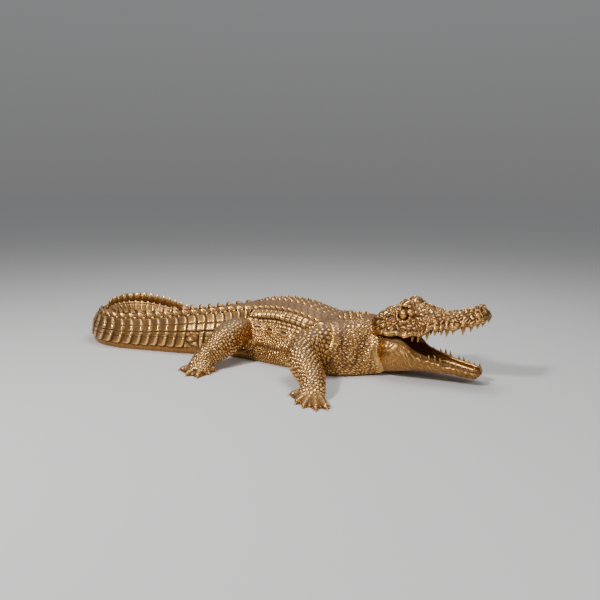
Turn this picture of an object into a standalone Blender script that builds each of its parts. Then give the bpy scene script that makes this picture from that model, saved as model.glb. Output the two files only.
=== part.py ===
"""A crocodile sculpture, cast in one piece, lying on its belly with its jaws open and its tail bent round.

Metres, +Z up. The head looks along +X, the creature's left side is +Y, and the floor is z = 0.
The origin is on the flat of the belly, under the middle of the trunk.

The whole figure is one casting. Its forms are laid out as closed shells that overlap (trunk and tail, skull,
lower jaw, limbs, toes, teeth, eyes and the raised scales of the back), and Boolean unions make them one solid,
which is then cut flat where it stands.
"""

import math

import bmesh
import bpy
import numpy as np

# Driving sizes

SPINE_LENGTH = 2.140  # from inside the skull to the tip of the tail, along the bent spine
BODY_WIDTH = 0.372  # trunk, at its widest
BODY_HEIGHT = 0.240  # trunk, from the floor to the skin of the back
NAPE_X = 0.42  # where the spine starts, inside the skull
HEAD_LENGTH = 0.438  # nape to snout
HEAD_WIDTH = 0.20  # across the angles of the jaw
JAW_LENGTH = 0.375  # lower jaw, from the cheek to its tip
EYE_SIZE = 0.034
EYE_PLACE = 0.341  # along the head
NOSTRIL_PLACE = 0.91
TOOTH_LENGTH = 0.017
TOOTH_WIDTH = 0.0145
LOWER_TOOTH_SHARE = 0.75  # how wide a lower tooth is beside an upper one
FORELEG_REACH = 0.36  # from the shoulder to the wrist, in plan
HINDLEG_REACH = 0.30  # from the hip to the ankle, in plan
FORELEG_THICKNESS = 0.120  # upper arm
HINDLEG_THICKNESS = 0.130  # thigh
LIMB_ROOT_HEIGHT = 0.120  # shoulder and hip joints above the floor
TOE_LENGTH = 0.140
TOE_THICKNESS = 0.030
SCUTE_PITCH = 0.031  # from one cross row of scales on the back to the next
TAIL_PITCH = 0.041  # the same where the tail has its double crest
CREST_PITCH = 0.030  # and where it has a single one
SCUTE_HEIGHT = 0.012  # keels on the trunk
KEEL_HEIGHT = 0.024  # double crest of the tail
CREST_HEIGHT = 0.044  # single crest of the tail
FIN_WIDTH = 0.020  # a row of keels on the trunk, at its foot
KEEL_WIDTH = 0.026  # the double crest at its foot
CREST_WIDTH = 0.022  # the single crest at its foot
SINK = 0.004  # how far the forms reach below the floor before the underside is cut flat

GOLD = (0.62, 0.38, 0.13, 1.0)
GOLD_ROUGHNESS = 0.36

# Pose of the spine: each bend turns the tail by so many degrees between two shares of the spine's length.
# Positive turns it towards the creature's right.

BENDS = ((0.075, 0.141, -5.0), (0.189, 0.365, 26.8), (0.528, 0.858, -184.0))

# Half outlines of the body, from the middle of the back down to the middle of the belly.
# Each point is a share of the half width and a share of the height.

NECK = ((0, 1.0), (0.34, 0.98), (0.60, 0.88), (0.80, 0.70), (0.95, 0.44), (0.98, 0.22), (0.80, 0), (0, 0))
TRUNK = ((0, 1.0), (0.28, 0.98), (0.53, 0.89), (0.71, 0.76), (0.90, 0.50), (1.0, 0.26), (0.93, 0), (0, 0))
TAIL = ((0, 0.90), (0.26, 0.93), (0.48, 0.99), (0.76, 0.82), (0.97, 0.54), (1.0, 0.26), (0.85, 0), (0, 0))
BLADE = ((0, 1.0), (0.20, 0.93), (0.42, 0.82), (0.72, 0.64), (0.96, 0.42), (1.0, 0.24), (0.74, 0), (0, 0))
OUTLINES = np.array([NECK, TRUNK, TAIL, BLADE])

# Stations of the body: share of the spine, share of the half width, share of the height,
# height of the underside as a share of the height, and the outline (0 neck, 1 trunk, 2 tail, 3 blade).

STATIONS = np.array(
    [
        (0.000, 0.48, 0.84, 0.16, 0.0),
        (0.018, 0.58, 0.85, 0.06, 0.0),
        (0.039, 0.74, 0.86, 0.01, 0.0),
        (0.065, 1.00, 0.86, 0.00, 0.1),
        (0.094, 1.07, 0.84, 0.00, 0.5),
        (0.127, 1.01, 0.87, 0.00, 1.0),
        (0.173, 0.97, 0.97, 0.00, 1.0),
        (0.219, 0.96, 1.00, 0.00, 1.0),
        (0.258, 0.93, 0.98, 0.00, 1.0),
        (0.297, 0.86, 0.93, 0.00, 1.2),
        (0.341, 0.76, 0.82, 0.00, 1.6),
        (0.390, 0.70, 0.72, 0.00, 2.0),
        (0.439, 0.68, 0.66, 0.00, 2.0),
        (0.498, 0.57, 0.60, 0.00, 2.0),
        (0.551, 0.47, 0.56, 0.00, 2.0),
        (0.620, 0.38, 0.57, 0.00, 2.1),
        (0.694, 0.32, 0.63, 0.00, 2.6),
        (0.762, 0.28, 0.62, 0.00, 3.0),
        (0.832, 0.23, 0.52, 0.00, 3.0),
        (0.908, 0.17, 0.34, 0.00, 3.0),
        (0.959, 0.11, 0.21, 0.00, 3.0),
        (1.000, 0.05, 0.09, 0.00, 3.0),
    ]
)

# Skull and upper jaw: share of the head's length, share of its half width,
# and the heights of the top and of the lip, as shares of the head's length above the floor.

SKULL = np.array(
    [
        (0.00, 0.55, 0.455, 0.300),
        (0.07, 0.84, 0.520, 0.345),
        (0.20, 1.00, 0.595, 0.368),
        (0.32, 0.93, 0.630, 0.366),
        (0.43, 0.86, 0.625, 0.372),
        (0.50, 0.80, 0.605, 0.392),
        (0.58, 0.73, 0.585, 0.438),
        (0.66, 0.66, 0.585, 0.448),
        (0.74, 0.61, 0.598, 0.456),
        (0.81, 0.55, 0.615, 0.478),
        (0.90, 0.58, 0.650, 0.508),
        (0.955, 0.55, 0.645, 0.528),
        (0.985, 0.43, 0.610, 0.538),
        (1.00, 0.22, 0.580, 0.553),
    ]
)
LIP_WAVES = 7.5  # how often the edge of the upper lip rises and falls along the head
LIP_WAVE_HEIGHT = 0.0035

# Lower jaw: share of its length from the cheek, share of the head's half width,
# and the heights of the gum, the underside and the floor of the mouth, as shares of the head's length.

JAW = np.array(
    [
        (0.00, 0.66, 0.290, 0.020, 0.200),
        (0.08, 0.90, 0.312, 0.030, 0.190),
        (0.18, 1.00, 0.312, 0.050, 0.160),
        (0.28, 1.00, 0.300, 0.065, 0.140),
        (0.35, 0.98, 0.255, 0.075, 0.130),
        (0.42, 0.93, 0.222, 0.082, 0.130),
        (0.54, 0.83, 0.190, 0.086, 0.125),
        (0.70, 0.69, 0.155, 0.080, 0.112),
        (0.84, 0.57, 0.134, 0.070, 0.096),
        (0.93, 0.50, 0.122, 0.062, 0.086),
        (0.98, 0.38, 0.113, 0.064, 0.084),
        (1.00, 0.22, 0.108, 0.082, 0.088),
    ]
)
JAW_START = 0.10  # where the lower jaw leaves the neck, as a share of the head's length from the nape

# Teeth on each side: share of the jaw's length, and share of the tooth length.

UPPER_TEETH = (
    (0.425, 1.09), (0.473, 1.44), (0.545, 1.70), (0.608, 1.27), (0.658, 1.19), (0.702, 1.50),
    (0.75, 1.02), (0.83, 1.71), (0.895, 1.28), (0.945, 0.98), (0.980, 0.77),
)
LOWER_TEETH = (
    (0.469, 0.60), (0.549, 1.05), (0.603, 1.60), (0.655, 1.45), (0.748, 1.22), (0.80, 1.35),
    (0.854, 1.12), (0.910, 1.0), (0.970, 1.30),
)

# Limbs: stations of the path from inside the body to the wrist or ankle. Each has the share of the reach
# outwards, the share of the reach forwards, the height as a share of the root's height, and a share of the
# thickness.

FORELEG = (
    (-0.12, 0.02, 0.96, 0.80), (0.17, -0.04, 1.00, 1.00), (0.32, -0.10, 0.87, 0.97), (0.46, -0.07, 0.73, 0.91),
    (0.59, 0.06, 0.57, 0.84), (0.72, 0.19, 0.42, 0.74), (0.84, 0.29, 0.30, 0.59),
)
HINDLEG = (
    (-0.08, -0.06, 0.80, 0.75), (0.22, -0.08, 0.94, 0.92), (0.42, -0.10, 0.90, 0.96), (0.62, -0.11, 0.72, 0.84),
    (0.80, -0.14, 0.52, 0.68), (0.95, -0.16, 0.36, 0.55),
)
FORELEG_STATION = 0.103  # where the forelegs leave the body, as a share of the spine
HINDLEG_STATION = 0.283
LIMB_ROOT_SPREAD = 0.60  # how far out the limb roots are, as a share of the body's half width
SWING = {"right_fore": 0.0, "right_hind": 0.0, "left_fore": -24.0, "left_hind": 20.0}  # degrees forwards

# Toes: angle from straight out, positive towards the head, and share of the toe length.

FORE_TOES = ((-62.0, 0.61), (-5.0, 0.78), (14.0, 0.96), (32.0, 1.10), (46.0, 1.09))
HIND_TOES = ((-59.0, 0.66), (-5.0, 0.67), (27.0, 0.73), (62.0, 0.48), (112.0, 0.40))

# Rows of raised scales: where each starts and ends as a share of the spine, and its place on the half outline.

TRUNK_ROWS = (0.105, 0.286)
DOUBLE_CREST = (0.293, 0.700)
SINGLE_CREST = (0.660, 0.985)
INNER_PLACE = 0.8
EDGE_PLACE = 2.0
NOTCH = 1.12  # how deep the gaps between the points of a row are, as a share of their height
CREST_NOTCH = 0.55
WEB_REACH = (0.84, 0.60)  # how far the web reaches at a toe and midway between two, as shares of their length

RINGS = 51
SECTION_STEPS = 8
HEAD_RINGS = 28
JAW_RINGS = 19
LIMB_SIDES = 10


def smooth(t):
    """A step that eases in and out, from 0 to 1."""
    t = np.clip(t, 0.0, 1.0)
    return t * t * (3.0 - 2.0 * t)


def curve_through(knots, values, at):
    """Values at places between the knots: a cubic through them, with the slopes of a Catmull-Rom spline."""
    knots = np.asarray(knots, float)
    values = np.asarray(values, float)
    at = np.clip(np.asarray(at, float), knots[0], knots[-1])
    slopes = np.gradient(values, knots, axis=0)
    i = np.clip(np.searchsorted(knots, at, side="right") - 1, 0, len(knots) - 2)
    step = knots[i + 1] - knots[i]
    t = (at - knots[i]) / step
    if values.ndim > 1:
        t = t[..., None]
        step = step[..., None]
    rise = values[i + 1] - values[i]
    a = slopes[i] * step
    b = slopes[i + 1] * step
    return values[i] + t * a + t * t * (3 * rise - 2 * a - b) + t**3 * (a + b - 2 * rise)


def spine_table(steps=800):
    """Plan of the spine: x, y and heading at even steps from the nape to the tip of the tail."""
    share = np.linspace(0.0, 1.0, steps + 1)
    turn = sum(math.radians(angle) * smooth((share - start) / (end - start)) for start, end, angle in BENDS)
    middle = 0.5 * (turn[1:] + turn[:-1])
    pace = SPINE_LENGTH / steps
    x = NAPE_X - pace * np.concatenate([[0.0], np.cumsum(np.cos(middle))])
    y = -pace * np.concatenate([[0.0], np.cumsum(np.sin(middle))])
    return share, x, y, turn


SPINE = spine_table()


def spine_at(share):
    """Place on the spine, and the unit vectors forwards and to the left there."""
    table, x, y, turn = SPINE
    px = np.interp(share, table, x)
    py = np.interp(share, table, y)
    angle = np.interp(share, table, turn)
    forward = np.stack([np.cos(angle), np.sin(angle)], -1)
    left = np.stack([-np.sin(angle), np.cos(angle)], -1)
    return np.stack([px, py], -1), forward, left


def half_outline(kind, t):
    """A body outline between two kinds, read at t, from 0 at the back to 7 at the belly."""
    low = int(min(kind, len(OUTLINES) - 2))
    mixed = OUTLINES[low] + (kind - low) * (OUTLINES[low + 1] - OUTLINES[low])
    return curve_through(np.arange(len(mixed)), mixed, t)


def body_station(share):
    """Half width, top, underside and outline of the body at a share of the spine."""
    width, top, under, kind = curve_through(STATIONS[:, 0], STATIONS[:, 1:], np.array([share]))[0]
    top = top * BODY_HEIGHT
    under = under * BODY_HEIGHT - SINK
    return width * BODY_WIDTH / 2, top, under, kind


def body_point(share, t, side):
    """A point of the body's skin. t runs from 0 at the back to 7 at the belly, and side is 1 on the left."""
    half, top, under, kind = body_station(share)
    lateral, height = half_outline(kind, np.array([t]))[0]
    place, _, left = spine_at(share)
    plan = place + left * lateral * half * side
    return np.array([plan[0], plan[1], under + height * (top - under)])


def body_ring(share):
    """One cross-section of the body, from the middle of the back round the left side."""
    half, top, under, kind = body_station(share)
    t = np.linspace(0.0, len(NECK) - 1.0, SECTION_STEPS + 1)
    outline = half_outline(kind, t)
    lateral = np.concatenate([outline[:, 0], -outline[-2:0:-1, 0]]) * half
    height = np.concatenate([outline[:, 1], outline[-2:0:-1, 1]])
    place, _, left = spine_at(share)
    plan = place + lateral[:, None] * left
    return np.column_stack([plan, under + height * (top - under)])


def shell(name, rings):
    """A closed object lofted through rings of points, with flat ends. Normals point out."""
    sides = len(rings[0])
    bm = bmesh.new()
    rows = [[bm.verts.new(p) for p in ring] for ring in rings]
    for low, high in zip(rows[:-1], rows[1:]):
        for i in range(sides):
            j = (i + 1) % sides
            bm.faces.new((low[i], low[j], high[j], high[i]))
    bm.faces.new(rows[0][::-1])
    bm.faces.new(rows[-1])
    bmesh.ops.recalc_face_normals(bm, faces=bm.faces)
    mesh = bpy.data.meshes.new(name)
    bm.to_mesh(mesh)
    bm.free()
    obj = bpy.data.objects.new(name, mesh)
    bpy.context.scene.collection.objects.link(obj)
    return obj


def frame_along(path):
    """Unit vectors along, across and above a path that never runs straight up."""
    along = np.gradient(path, axis=0)
    along = along / np.linalg.norm(along, axis=1, keepdims=True)
    across = np.cross(along, (0.0, 0.0, 1.0))
    across = across / np.linalg.norm(across, axis=1, keepdims=True)
    return along, across, np.cross(across, along)


def tube(name, path, wide, tall, sides):
    """A closed tube along a path, oval in section, with its half width and half height at each point."""
    path = np.asarray(path, float)
    _, across, above = frame_along(path)
    turn = np.linspace(0.0, 2.0 * math.pi, sides, endpoint=False) + math.pi / sides
    rings = [
        p + np.outer(np.cos(turn) * w, a) + np.outer(np.sin(turn) * h, u)
        for p, a, u, w, h in zip(path, across, above, wide, tall)
    ]
    return shell(name, rings)


def body():
    """Neck, trunk and tail: one loft along the bent spine."""
    shares = np.linspace(0.0, 1.0, RINGS)
    return shell("trunk_and_tail", [body_ring(s) for s in shares])


def head_frame():
    """Where the head starts, and its forward and left directions."""
    place, forward, left = spine_at(0.0)
    start = np.array([place[0], place[1], 0.0])
    forward = np.array([forward[0], forward[1], 0.0])
    left = np.array([left[0], left[1], 0.0])
    return start - forward * 0.20 * HEAD_LENGTH, forward, left


def skull_at(share):
    """Half width, top and lip height of the upper jaw at a share of the head."""
    width, top, lip = curve_through(SKULL[:, 0], SKULL[:, 1:], np.array([share]))[0]
    return width * HEAD_WIDTH / 2, top * HEAD_LENGTH, lip * HEAD_LENGTH


def skull():
    """Skull and upper jaw: arched above, nearly flat at the palate."""
    start, forward, left = head_frame()
    lateral = np.array([0.0, 0.40, 0.72, 0.92, 1.0, 0.97, 0.80, 0.45])
    height = np.array([1.0, 0.98, 0.84, 0.55, 0.22, 0.0, 0.05, 0.12])
    lateral = np.concatenate([lateral, [0.0], -lateral[:0:-1]])
    height = np.concatenate([height, [0.13], height[:0:-1]])
    rings = []
    for share in np.linspace(0.0, 1.0, HEAD_RINGS):
        half, top, lip = skull_at(share)
        wave = math.sin(2.0 * math.pi * LIP_WAVES * share)
        lip += LIP_WAVE_HEIGHT * wave * smooth(4.0 * share) * smooth(8.0 - 8.0 * share)
        middle = start + forward * share * HEAD_LENGTH
        z = lip + height * (top - lip)
        rings.append(middle + np.outer(lateral * half, left) + np.outer(z, (0.0, 0.0, 1.0)))
    return shell("skull", rings)


def jaw_at(share):
    """Half width and the heights of gum, underside and mouth floor at a share of the lower jaw."""
    width, gum, under, floor = curve_through(JAW[:, 0], JAW[:, 1:], np.array([share]))[0]
    return width * HEAD_WIDTH / 2, gum * HEAD_LENGTH, under * HEAD_LENGTH, floor * HEAD_LENGTH


def jaw_place(share):
    """A point on the middle line of the lower jaw, at floor height."""
    start, forward, _ = head_frame()
    return start + forward * (JAW_START * HEAD_LENGTH + share * JAW_LENGTH)


def jaw():
    """Lower jaw: a long trough, with the mouth's floor below the gums."""
    _, _, left = head_frame()
    rings = []
    for share in np.linspace(0.0, 1.0, JAW_RINGS):
        half, gum, under, floor = jaw_at(share)
        depth = gum - under
        right_side = [
            (0.0, floor), (0.58, floor), (0.70, gum + 0.06 * depth), (0.84, gum), (0.96, gum - 0.08 * depth),
            (1.0, under + 0.62 * depth), (0.92, under + 0.25 * depth), (0.62, under), (0.0, under),
        ]
        outline = right_side + [(-a, z) for a, z in right_side[-2:0:-1]]
        middle = jaw_place(share)
        rings.append([middle + left * a * half + np.array((0.0, 0.0, z)) for a, z in outline])
    return shell("lower_jaw", rings)


def tooth(name, base, tip, width):
    """A five-sided cone from the gum to its point."""
    axis = (tip - base) / np.linalg.norm(tip - base)
    across = np.cross(axis, (1.0, 0.0, 0.0))
    across = across / np.linalg.norm(across)
    beside = np.cross(axis, across)
    turn = np.linspace(0.0, 2.0 * math.pi, 5, endpoint=False)
    circle = np.outer(np.cos(turn), across) + np.outer(np.sin(turn), beside)
    return shell(name, [base + circle * width / 2, tip + circle * width * 0.06])


def teeth():
    """Both rows of both jaws. Roots are sunk in the gums."""
    start, forward, left = head_frame()
    up = np.array((0.0, 0.0, 1.0))
    made = []
    for side in (1, -1):
        for n, (share, size) in enumerate(UPPER_TEETH):
            half, top, lip = skull_at(share)
            gum = start + forward * share * HEAD_LENGTH + left * side * half * 0.88 + up * lip
            length = TOOTH_LENGTH * size
            width = TOOTH_WIDTH * size**0.5
            made.append(tooth(f"upper_tooth_{side}_{n}", gum + up * 0.35 * length, gum - up * length, width))
        for n, (share, size) in enumerate(LOWER_TEETH):
            half, gum_height, _, _ = jaw_at(share)
            gum = jaw_place(share) + left * side * half * 0.85 + up * gum_height
            length = TOOTH_LENGTH * size
            width = TOOTH_WIDTH * LOWER_TOOTH_SHARE * size**0.5
            made.append(tooth(f"lower_tooth_{side}_{n}", gum - up * 0.35 * length, gum + up * length, width))
    return made


def knob(name, centre, radii, directions, segments=8, rings=4):
    """A lump: a ball stretched along three directions."""
    polar = np.linspace(0.12 * math.pi, 0.88 * math.pi, rings)
    turn = np.linspace(0.0, 2.0 * math.pi, segments, endpoint=False)
    axes = np.array(directions) * np.array(radii)[:, None]
    return shell(
        name,
        [
            centre
            + np.outer(math.sin(p) * np.cos(turn), axes[0])
            + np.outer(math.sin(p) * np.sin(turn), axes[1])
            + math.cos(p) * axes[2]
            for p in polar
        ],
    )


def face():
    """Eyes, brows and nostrils, set on the skull."""
    start, forward, left = head_frame()
    up = np.array((0.0, 0.0, 1.0))
    made = []
    for side in (1, -1):
        axes = (forward, left * side, up)
        half, top, _ = skull_at(EYE_PLACE)
        middle = start + forward * EYE_PLACE * HEAD_LENGTH
        eye = middle + left * side * half * 0.80 + up * (top - 0.95 * EYE_SIZE)
        made.append(knob(f"eye_{side}", eye, (0.50 * EYE_SIZE, 0.52 * EYE_SIZE, 0.62 * EYE_SIZE), axes))
        brow = middle + left * side * half * 0.50 + up * (top - 0.10 * EYE_SIZE)
        made.append(knob(f"brow_{side}", brow, (0.95 * EYE_SIZE, 0.50 * EYE_SIZE, 0.72 * EYE_SIZE), axes))
        half, top, _ = skull_at(NOSTRIL_PLACE)
        middle = start + forward * NOSTRIL_PLACE * HEAD_LENGTH
        nostril = middle + left * side * half * 0.42 + up * (top - 0.20 * EYE_SIZE)
        made.append(knob(f"nostril_{side}", nostril, (0.60 * EYE_SIZE, 0.46 * EYE_SIZE, 0.42 * EYE_SIZE), axes))
    return made


def limb_path(name, station, table, reach, side):
    """Points and half thicknesses of a limb, from inside the body to the wrist, and its two directions."""
    half, _, _, _ = body_station(station)
    place, _, left = spine_at(station)
    plan = place + left * half * LIMB_ROOT_SPREAD * side
    turn = math.radians(SWING[name])
    out = np.array([math.sin(turn), math.cos(turn) * side, 0.0])
    ahead = np.array([math.cos(turn), -math.sin(turn) * side, 0.0])
    root = np.array([plan[0], plan[1], 0.0])
    up = np.array((0.0, 0.0, LIMB_ROOT_HEIGHT))
    points = [root + out * o * reach + ahead * a * reach + up * z for o, a, z, _ in table]
    return np.array(points), np.array([row[3] for row in table]) / 2, out, ahead


def web(name, hub, out, ahead, toes):
    """The skin between the toes: a fan that thins outwards, with its edge drawn in between the toes."""
    angles = np.radians([toe[0] for toe in toes])
    lengths = np.array([toe[1] for toe in toes]) * TOE_LENGTH
    fan = np.interp(np.arange(2 * len(toes) - 1) / 2, np.arange(len(toes)), angles)
    edge = np.interp(fan, angles, lengths)
    edge[0::2] *= WEB_REACH[0]
    edge[1::2] *= WEB_REACH[1]
    rim = np.outer(np.cos(fan) * edge, out) + np.outer(np.sin(fan) * edge, ahead)
    rim = np.vstack([rim, -0.25 * rim[len(toes) - 1]])
    middle = np.array([hub[0], hub[1], 0.0])
    up = np.array((0.0, 0.0, TOE_THICKNESS))
    return shell(name, [middle + rim - up, middle + rim + 0.22 * up, middle + 0.40 * rim + 0.62 * up])


def limb(name, station, table, reach, thickness, toes, side):
    """A leg with its foot and toes, splayed from the flank to the floor."""
    points, shares, out, ahead = limb_path(name, station, table, reach, side)
    knots = np.arange(len(points))
    fine = np.linspace(0.0, len(points) - 1.0, 8)
    path = curve_through(knots, points, fine)
    radius = curve_through(knots, shares, fine) * thickness
    wrist = path[-1]
    end = radius[-1]
    aim = out * math.cos(math.radians(15.0)) + ahead * math.sin(math.radians(15.0))
    palm = wrist + np.outer((0.9, 1.9), aim) * end
    palm[:, 2] = (0.66 * end, TOE_THICKNESS * 0.5)
    wide = np.concatenate([radius, end * np.array([1.25, 1.30])])
    tall = np.concatenate([radius, [0.72 * end, TOE_THICKNESS * 0.5]])
    made = [tube(f"{name}_leg", np.vstack([path, palm]), wide, tall, LIMB_SIDES)]
    hub = wrist + aim * 0.25 * end
    for n, (angle, size) in enumerate(toes):
        turn = math.radians(angle)
        way = out * math.cos(turn) + ahead * math.sin(turn)
        length = TOE_LENGTH * size
        thick = TOE_THICKNESS / 2
        toe = np.array([hub + way * d * length for d in (0.30, 0.64, 0.86, 1.0)])
        toe[:, 2] = np.array([1.45, 1.05, 0.85, 0.30]) * thick
        wide = np.array([0.80, 0.82, 0.64, 0.10]) * thick
        tall = np.array([0.95, 0.95, 0.70, 0.10]) * thick
        made.append(tube(f"{name}_toe_{n}", toe, wide, tall, 5))
    made.append(web(f"{name}_web", hub, out, ahead, toes))
    return made


def fin(name, span, pitch, t, height, width, side, notch=NOTCH):
    """A row of raised scales along the body, at t of its outline: a saw-toothed ridge whose points lean back.

    notch is how deep the gaps between the points are, as a share of their height.
    """
    starts, ends = span
    count = int(round((ends - starts) * SPINE_LENGTH / pitch))
    shares = starts + np.arange(2 * count + 1) * (ends - starts) / (2 * count)
    shares[1::2] += 0.22 * (ends - starts) / (2 * count)
    rings = []
    for n, share in enumerate(shares):
        skin = body_point(share, t, side)
        _, _, left = spine_at(share)
        across = np.array([left[0], left[1], 0.0]) * width / 2
        _, top, _, _ = body_station(share)
        taper = math.sin(math.pi * (n + 0.5) / len(shares)) ** 0.35
        size = height * min(1.0, (1.6 * top / BODY_HEIGHT) ** 0.5) * taper
        rise = size if n % 2 else (1.0 - notch) * size
        slim = 1.0 if n % 2 else 0.7
        foot = skin - np.array((0.0, 0.0, 0.35 * height))
        rings.append([foot + across * slim, skin + np.array((0.0, 0.0, rise)), foot - across * slim])
    return shell(name, rings)


def back_scales():
    """Keels of the back, the double crest of the tail and its single crest."""
    made = [fin("single_crest", SINGLE_CREST, CREST_PITCH, 0.0, CREST_HEIGHT, CREST_WIDTH, 1, CREST_NOTCH)]
    keels = (SCUTE_HEIGHT, FIN_WIDTH)
    for side in (1, -1):
        made.append(fin(f"inner_row_{side}", TRUNK_ROWS, SCUTE_PITCH, INNER_PLACE, *keels, side))
        made.append(fin(f"edge_row_{side}", TRUNK_ROWS, SCUTE_PITCH, EDGE_PLACE, *keels, side))
        crest = f"double_crest_{side}"
        made.append(fin(crest, DOUBLE_CREST, TAIL_PITCH, EDGE_PLACE, KEEL_HEIGHT, KEEL_WIDTH, side))
    return made


def gold():
    """The finish: gold paint with a satin sheen."""
    material = bpy.data.materials.new("gold_finish")
    material.use_nodes = True
    shader = material.node_tree.nodes["Principled BSDF"]
    shader.inputs["Base Color"].default_value = GOLD
    shader.inputs["Metallic"].default_value = 1.0
    shader.inputs["Roughness"].default_value = GOLD_ROUGHNESS
    return material


def weld(obj):
    """Closes up points that the Booleans leave less than a hundredth of a millimetre apart."""
    bm = bmesh.new()
    bm.from_mesh(obj.data)
    bmesh.ops.remove_doubles(bm, verts=bm.verts, dist=0.00001)
    bmesh.ops.dissolve_degenerate(bm, edges=bm.edges, dist=0.00001)
    bm.to_mesh(obj.data)
    bm.free()


def join_shells(shells):
    """One solid from shells that overlap: the first keeps its name, and Boolean unions add the others."""
    whole = shells[0]
    group = bpy.data.collections.new("shells")
    bpy.context.scene.collection.children.link(group)
    for obj in shells[1:]:
        bpy.context.scene.collection.objects.unlink(obj)
        group.objects.link(obj)
    union = whole.modifiers.new("union", "BOOLEAN")
    union.operation = "UNION"
    union.operand_type = "COLLECTION"
    union.collection = group
    union.solver = "EXACT"
    bpy.context.view_layer.update()
    made = bpy.data.meshes.new_from_object(whole.evaluated_get(bpy.context.evaluated_depsgraph_get()))
    for obj in shells[1:]:
        bpy.data.objects.remove(obj)
    bpy.data.collections.remove(group)
    whole.modifiers.clear()
    whole.data = made
    weld(whole)
    return whole


def cut_underside(obj):
    """Cuts the solid flat at the floor."""
    reach = 2.0 * SPINE_LENGTH
    corners = np.array([(-reach, -reach), (reach, -reach), (reach, reach), (-reach, reach)])
    box = shell("floor_cutter", [np.column_stack([corners, np.full(4, z)]) for z in (-1.0, 0.0)])
    cut = obj.modifiers.new("underside", "BOOLEAN")
    cut.operation = "DIFFERENCE"
    cut.object = box
    cut.solver = "EXACT"
    bpy.context.view_layer.update()
    made = bpy.data.meshes.new_from_object(obj.evaluated_get(bpy.context.evaluated_depsgraph_get()))
    bpy.data.objects.remove(box)
    obj.modifiers.clear()
    obj.data = made
    weld(obj)


def crocodile():
    """The whole casting."""
    shells = [body(), skull(), jaw(), *face(), *teeth()]
    fore = (FORELEG_STATION, FORELEG, FORELEG_REACH, FORELEG_THICKNESS, FORE_TOES)
    hind = (HINDLEG_STATION, HINDLEG, HINDLEG_REACH, HINDLEG_THICKNESS, HIND_TOES)
    for side, name in ((1, "left"), (-1, "right")):
        shells += limb(f"{name}_fore", *fore, side)
        shells += limb(f"{name}_hind", *hind, side)
    shells += back_scales()
    whole = join_shells(shells)
    cut_underside(whole)
    whole.name = "crocodile"
    whole.data.name = "crocodile"
    whole.data.materials.clear()
    whole.data.materials.append(gold())
    return whole


def main():
    for obj in list(bpy.data.objects):
        bpy.data.objects.remove(obj)
    crocodile()


main()
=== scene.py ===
import math

import bpy
import numpy as np
from mathutils import Matrix, Vector


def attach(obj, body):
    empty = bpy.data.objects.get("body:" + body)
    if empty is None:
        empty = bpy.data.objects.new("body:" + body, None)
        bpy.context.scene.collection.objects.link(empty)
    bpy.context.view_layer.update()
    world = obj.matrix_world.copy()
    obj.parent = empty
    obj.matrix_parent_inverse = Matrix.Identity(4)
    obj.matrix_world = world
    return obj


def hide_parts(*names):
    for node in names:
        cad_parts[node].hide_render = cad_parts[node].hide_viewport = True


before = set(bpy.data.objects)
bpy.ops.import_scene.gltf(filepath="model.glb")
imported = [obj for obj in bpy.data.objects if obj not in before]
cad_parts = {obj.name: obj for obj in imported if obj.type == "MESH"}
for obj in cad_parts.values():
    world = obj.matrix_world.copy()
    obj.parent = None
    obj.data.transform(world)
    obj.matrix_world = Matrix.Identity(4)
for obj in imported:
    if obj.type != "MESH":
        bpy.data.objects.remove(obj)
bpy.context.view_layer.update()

bl_info = {
    "name": "Crocodile Sculpture",
    "version": (1, 0, 0),
    "blender": (4, 5, 0),
    "location": "3D View > Sidebar > Crocodile",
    "description": "A gold crocodile cast in one piece, with its hide, crests, teeth and claws",
    "category": "Object",
}

NODE = "crocodile"
UP = np.array((0.0, 0.0, 1.0))

# Pose of the spine: each bend turns the tail by so many degrees between two shares of the spine's length.

BENDS = ((0.075, 0.141, -5.0), (0.189, 0.365, 26.8), (0.528, 0.858, -184.0))

# Half outlines of the body, from the middle of the back down to the middle of the belly.
# Each point is a share of the half width and a share of the height.

NECK = ((0, 1.0), (0.34, 0.98), (0.60, 0.88), (0.80, 0.70), (0.95, 0.44), (0.98, 0.22), (0.80, 0), (0, 0))
TRUNK = ((0, 1.0), (0.28, 0.98), (0.53, 0.89), (0.71, 0.76), (0.90, 0.50), (1.0, 0.26), (0.93, 0), (0, 0))
TAIL = ((0, 0.90), (0.26, 0.93), (0.48, 0.99), (0.76, 0.82), (0.97, 0.54), (1.0, 0.26), (0.85, 0), (0, 0))
BLADE = ((0, 1.0), (0.20, 0.93), (0.42, 0.82), (0.72, 0.64), (0.96, 0.42), (1.0, 0.24), (0.74, 0), (0, 0))
OUTLINES = np.array([NECK, TRUNK, TAIL, BLADE])

# Places on a half outline, in knots from the middle of the back: the rows of keels, and the corner where the
# flank meets the floor. Then how many steps each knot's stretch is read in, on the body and on the head.

INNER_ROW, MIDDLE_ROW, EDGE_ROW, CORNER = 0.30, 0.80, 2, 6
BODY_STEPS, HEAD_STEPS = 24, 20

# Stations of the body: share of the spine, share of the half width, share of the height,
# height of the underside as a share of the height, and the outline (0 neck, 1 trunk, 2 tail, 3 blade).

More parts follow.
